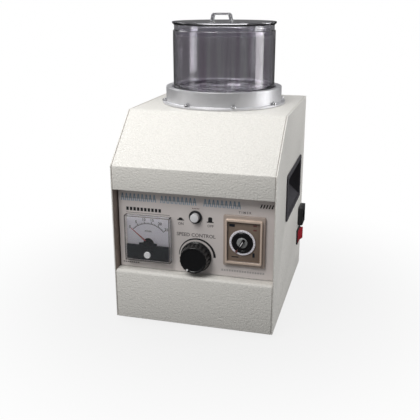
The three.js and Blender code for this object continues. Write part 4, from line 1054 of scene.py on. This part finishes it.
def dial_bar(name, width, length, front, back, taper, material, bevel_mm):
    bm = bmesh.new()
    bmesh.ops.create_cube(bm, size=1.0)
    for vert in bm.verts:
        ahead = vert.co.y < 0
        narrow = taper if ahead else 1.0
        vert.co = (width * vert.co.x * narrow * MM, (front if ahead else back) * MM,
                   length * vert.co.z * narrow * MM)
    piece = piece_of(name, bm)
    bevel = piece.modifiers.new("soft edges", "BEVEL")
    bevel.width, bevel.segments = bevel_mm * MM, 3
    bake_modifiers(piece)
    turned_bar = spin(30, "Y")
    piece.data.transform(Matrix.Translation(in_front(DIAL, face_y)) @ turned_bar)
    return settle(piece, material, "timer_dial")


hub = turned("timer_hub", "Y", in_front(DIAL, disc_front - 0.5 * MM), [
    (0, 0), (5.6, 0), (6.6, 1.2), (0, 1.2)], 0.2, 96)
settle(hub, DIAL_GREY, "timer_dial")
dial_bar("timer_bar", 4.0, 11.5, -6.9, -2.35, 0.75, KNOB_BLACK, 0.7)
# The white strip on the bar's front is a painted highlight along its ridge.
dial_bar("timer_bar_line", 0.9, 6.5, -6.96, -6.6, 1.0, INK_WHITE, 0.1)
placing = Matrix.Translation(in_front(DIAL, face_y - 1.76 * MM)) @ FACING_FRONT
dial_ticks = repeated(flat_mark("timer_ticks", block(1.3, 0.32)), ARC_TREE, placing, INK_GREY, Count=25,
                      Radius=(dial_r + 0.9) * MM, Start=math.radians(-60), Step=math.radians(12.5))
settle(dial_ticks, INK_GREY, "cabinet")
for name, x, z, width, height, material in (("timer_window", -14.4, 19.7, 6.6, 3.4, METER_BLACK),
                                            ("timer_mark_upper", 13.0, 21.0, 4.2, 1.8, INK_RED),
                                            ("timer_mark_lower", 13.0, 15.6, 4.0, 1.8, INK_RED),
                                            ("timer_slot", 11.8, -15.6, 2.6, 5.4, METER_BLACK),
                                            ("timer_note", -10.4, -19.6, 8.5, 1.2, INK_BLACK)):
    panel_block(name, timer_x + x, DIAL.z / MM + 0.6 + z, width, height, material, face_y - 0.01 * MM)
pointer = [(DIAL.x + r * MM * math.sin(a), DIAL.z + r * MM * math.cos(a))
           for r, a in ((9.0, math.radians(212)), (14.6, math.radians(206)), (14.6, math.radians(218)))]
ink_outline("timer_pointer", pointer, disc_front - 0.02 * MM, INK_RED, "timer_dial")
print("timer dial radius in mm:", round(dial_r, 1))

# %% [markdown]
# ## Marks on the rocker
# The two ends of the paddle carry a line and a ring, for on and off. They are laid on the sloping
# halves in the paddle's own level frame, which is then tipped as the paddle is.

# %% Rocker marks
ROCKER = joint_place("rocker_tilt")
TIPPED = Matrix.Translation(ROCKER) @ spin(-9, "Z")
SLOPE = math.atan2(1.8, 11.5)


def rocker_mark(name, outline_mm, sign):
    mark = flat_mark(name, outline_mm)
    stand = spin(90, "Y") @ spin(90, "Z")
    tilt = Matrix.Rotation(-sign * SLOPE, 4, "Z")
    mark.data.transform(TIPPED @ Matrix.Translation((3.36 * MM, sign * 5.9 * MM, 0)) @ tilt @ stand)
    return settle(mark, INK_WHITE, "rocker")


def circle(radius, sides=40):
    turn = [2 * math.pi * k / sides for k in range(sides)]
    return [(radius * math.cos(a), radius * math.sin(a)) for a in turn]


rocker_mark("rocker_line", block(0.8, 4.8, -0.4), 1)
rocker_mark("rocker_ring", circle(1.9) + [(1.9, -0.02), (1.3, -0.02)] + circle(1.3)[::-1], -1)

# %% [markdown]
# ## Inside
# The works show only through the louvres and when the tub is lifted, but each piece still has the
# finish of the real one: dull steel laminations, a cast end cap, nickel-plated magnets.
# finish of the real one: blued laminations, a cast end cap, nickel-plated magnets.

# %% Finishes for the works
WORKS = {
    DULL_STEEL: ["motor_can", "motor_armature", "transformer_core", "magnet_yoke", "motor_deck"],
    BRIGHT_STEEL: ["motor_shaft", "upper_bearing", "lower_bearing", "speed_shaft", "speed_potentiometer",
                   *[name for name in nodes if name.startswith("deck_post_")]],
    CAST_ALUMINIUM: ["motor_top_cap", "motor_bottom_cap", "disc_hub", "heat_sink"],
    MAGNET_GREY: [name for name in nodes if name.startswith("drive_magnet_")],
    COIL_VARNISH: ["transformer_coil"],
    BOARD_GREEN: ["circuit_board"],
}
for material, names in WORKS.items():
    for slot in [slot for name in names for slot in nodes[name].material_slots]:
        slot.material = material
print("CAD nodes with new finishes:", sum(len(names) for names in WORKS.values()) + 1)

# %% [markdown]
# ## Stage
# A pale floor, a pale surround and soft lights. The key light hangs in front of the machine and
# above it, so the slope is brightest and the upright bands darken towards the floor. A second
# softbox stands at the right, a little behind the front, and leaves the recess in shade. The
# surround lights less than it shows, because shiny black mouldings need a dark room to look black.

# %% Floor, surround and lights
floor_mesh = bpy.data.meshes.new("floor")
floor_mesh.from_pydata([(-6, -6, 0), (6, -6, 0), (6, 6, 0), (-6, 6, 0)], [], [(0, 1, 2, 3)])
floor = bpy.data.objects.new("floor", floor_mesh)
show(floor)
PALE_FLOOR = finish("pale_floor", (0.24, 0.24, 0.24), 0.8, spread=0.01, clouds=2.0)
floor.data.materials.append(PALE_FLOOR)


def glowing_floor(material, near, far, near_m, far_m, through, mirror=0.75):
    tree, shader = opened(material)
    reach = new_node(tree, "ShaderNodeVectorMath", {0: object_place(tree)}, operation="LENGTH")
    fade = new_node(tree, "ShaderNodeMapRange", {
        "From Min": near_m, "From Max": far_m, "To Min": near, "To Max": far,
        "Value": reach.outputs["Value"]},
        interpolation_type="SMOOTHSTEP")
    path = tree.nodes.new("ShaderNodeLightPath").outputs
    seen = times(tree, path["Is Camera Ray"], fade.outputs["Result"])
    lit = math_node(tree, "ADD", seen, times(tree, path["Is Transmission Ray"], through))
    mirrored = math_node(tree, "SUBTRACT", path["Is Glossy Ray"], path["Is Transmission Ray"])
    share = math_node(tree, "MAXIMUM", lit, times(tree, mirrored, mirror))
    glow = new_node(tree, "ShaderNodeEmission", {"Strength": math_node(tree, "GREATER_THAN", lit, 0.0)})
    mix = new_node(tree, "ShaderNodeMixShader", {"Fac": share, 1: shader.outputs[0], 2: glow.outputs[0]})
    join(tree, mix.outputs[0], tree.nodes["Material Output"].inputs["Surface"])


glowing_floor(PALE_FLOOR, 0.84, 1.0, 0.10, 0.45, 0.085)

world = bpy.data.worlds.new("pale_room")
bpy.context.scene.world = world
world.use_nodes = True
room = world.node_tree
lighting = room.nodes["Background"]
lighting.inputs["Color"].default_value = (0.97, 0.97, 1.0, 1)
lighting.inputs["Strength"].default_value = 0.16
backdrop = new_node(room, "ShaderNodeBackground", {"Color": (1, 1, 1, 1), "Strength": 1.0})
by_eye = room.nodes.new("ShaderNodeLightPath").outputs["Is Camera Ray"]
choice = new_node(room, "ShaderNodeMixShader", {
    "Fac": by_eye, 1: lighting.outputs[0], 2: backdrop.outputs[0]})
join(room, choice.outputs[0], room.nodes["World Output"].inputs["Surface"])

AIM = at(0, 110, 180)


def softbox(name, place, width, height, watts, colour=(1, 1, 1)):
    light = bpy.data.lights.new(name, "AREA")
    light.shape = "RECTANGLE"
    light.size, light.size_y = width, height
    light.energy = watts
    light.color = colour
    lamp = bpy.data.objects.new(name, light)
    lamp.matrix_world = aimed(place, AIM)
    show(lamp)


softbox("front_key", at(-250, -620, 950), 0.5, 0.5, 7.0, (1.0, 0.99, 0.97))
softbox("overhead", at(0, 200, 1500), 1.2, 1.0, 7.0)
softbox("left_window", at(-1200, -500, 500), 0.3, 1.4, 1.9)
softbox("left_rear_window", at(-950, 380, 820), 0.6, 0.5, 4.0)
softbox("right_window", at(1150, 320, 450), 0.5, 1.2, 8.6)
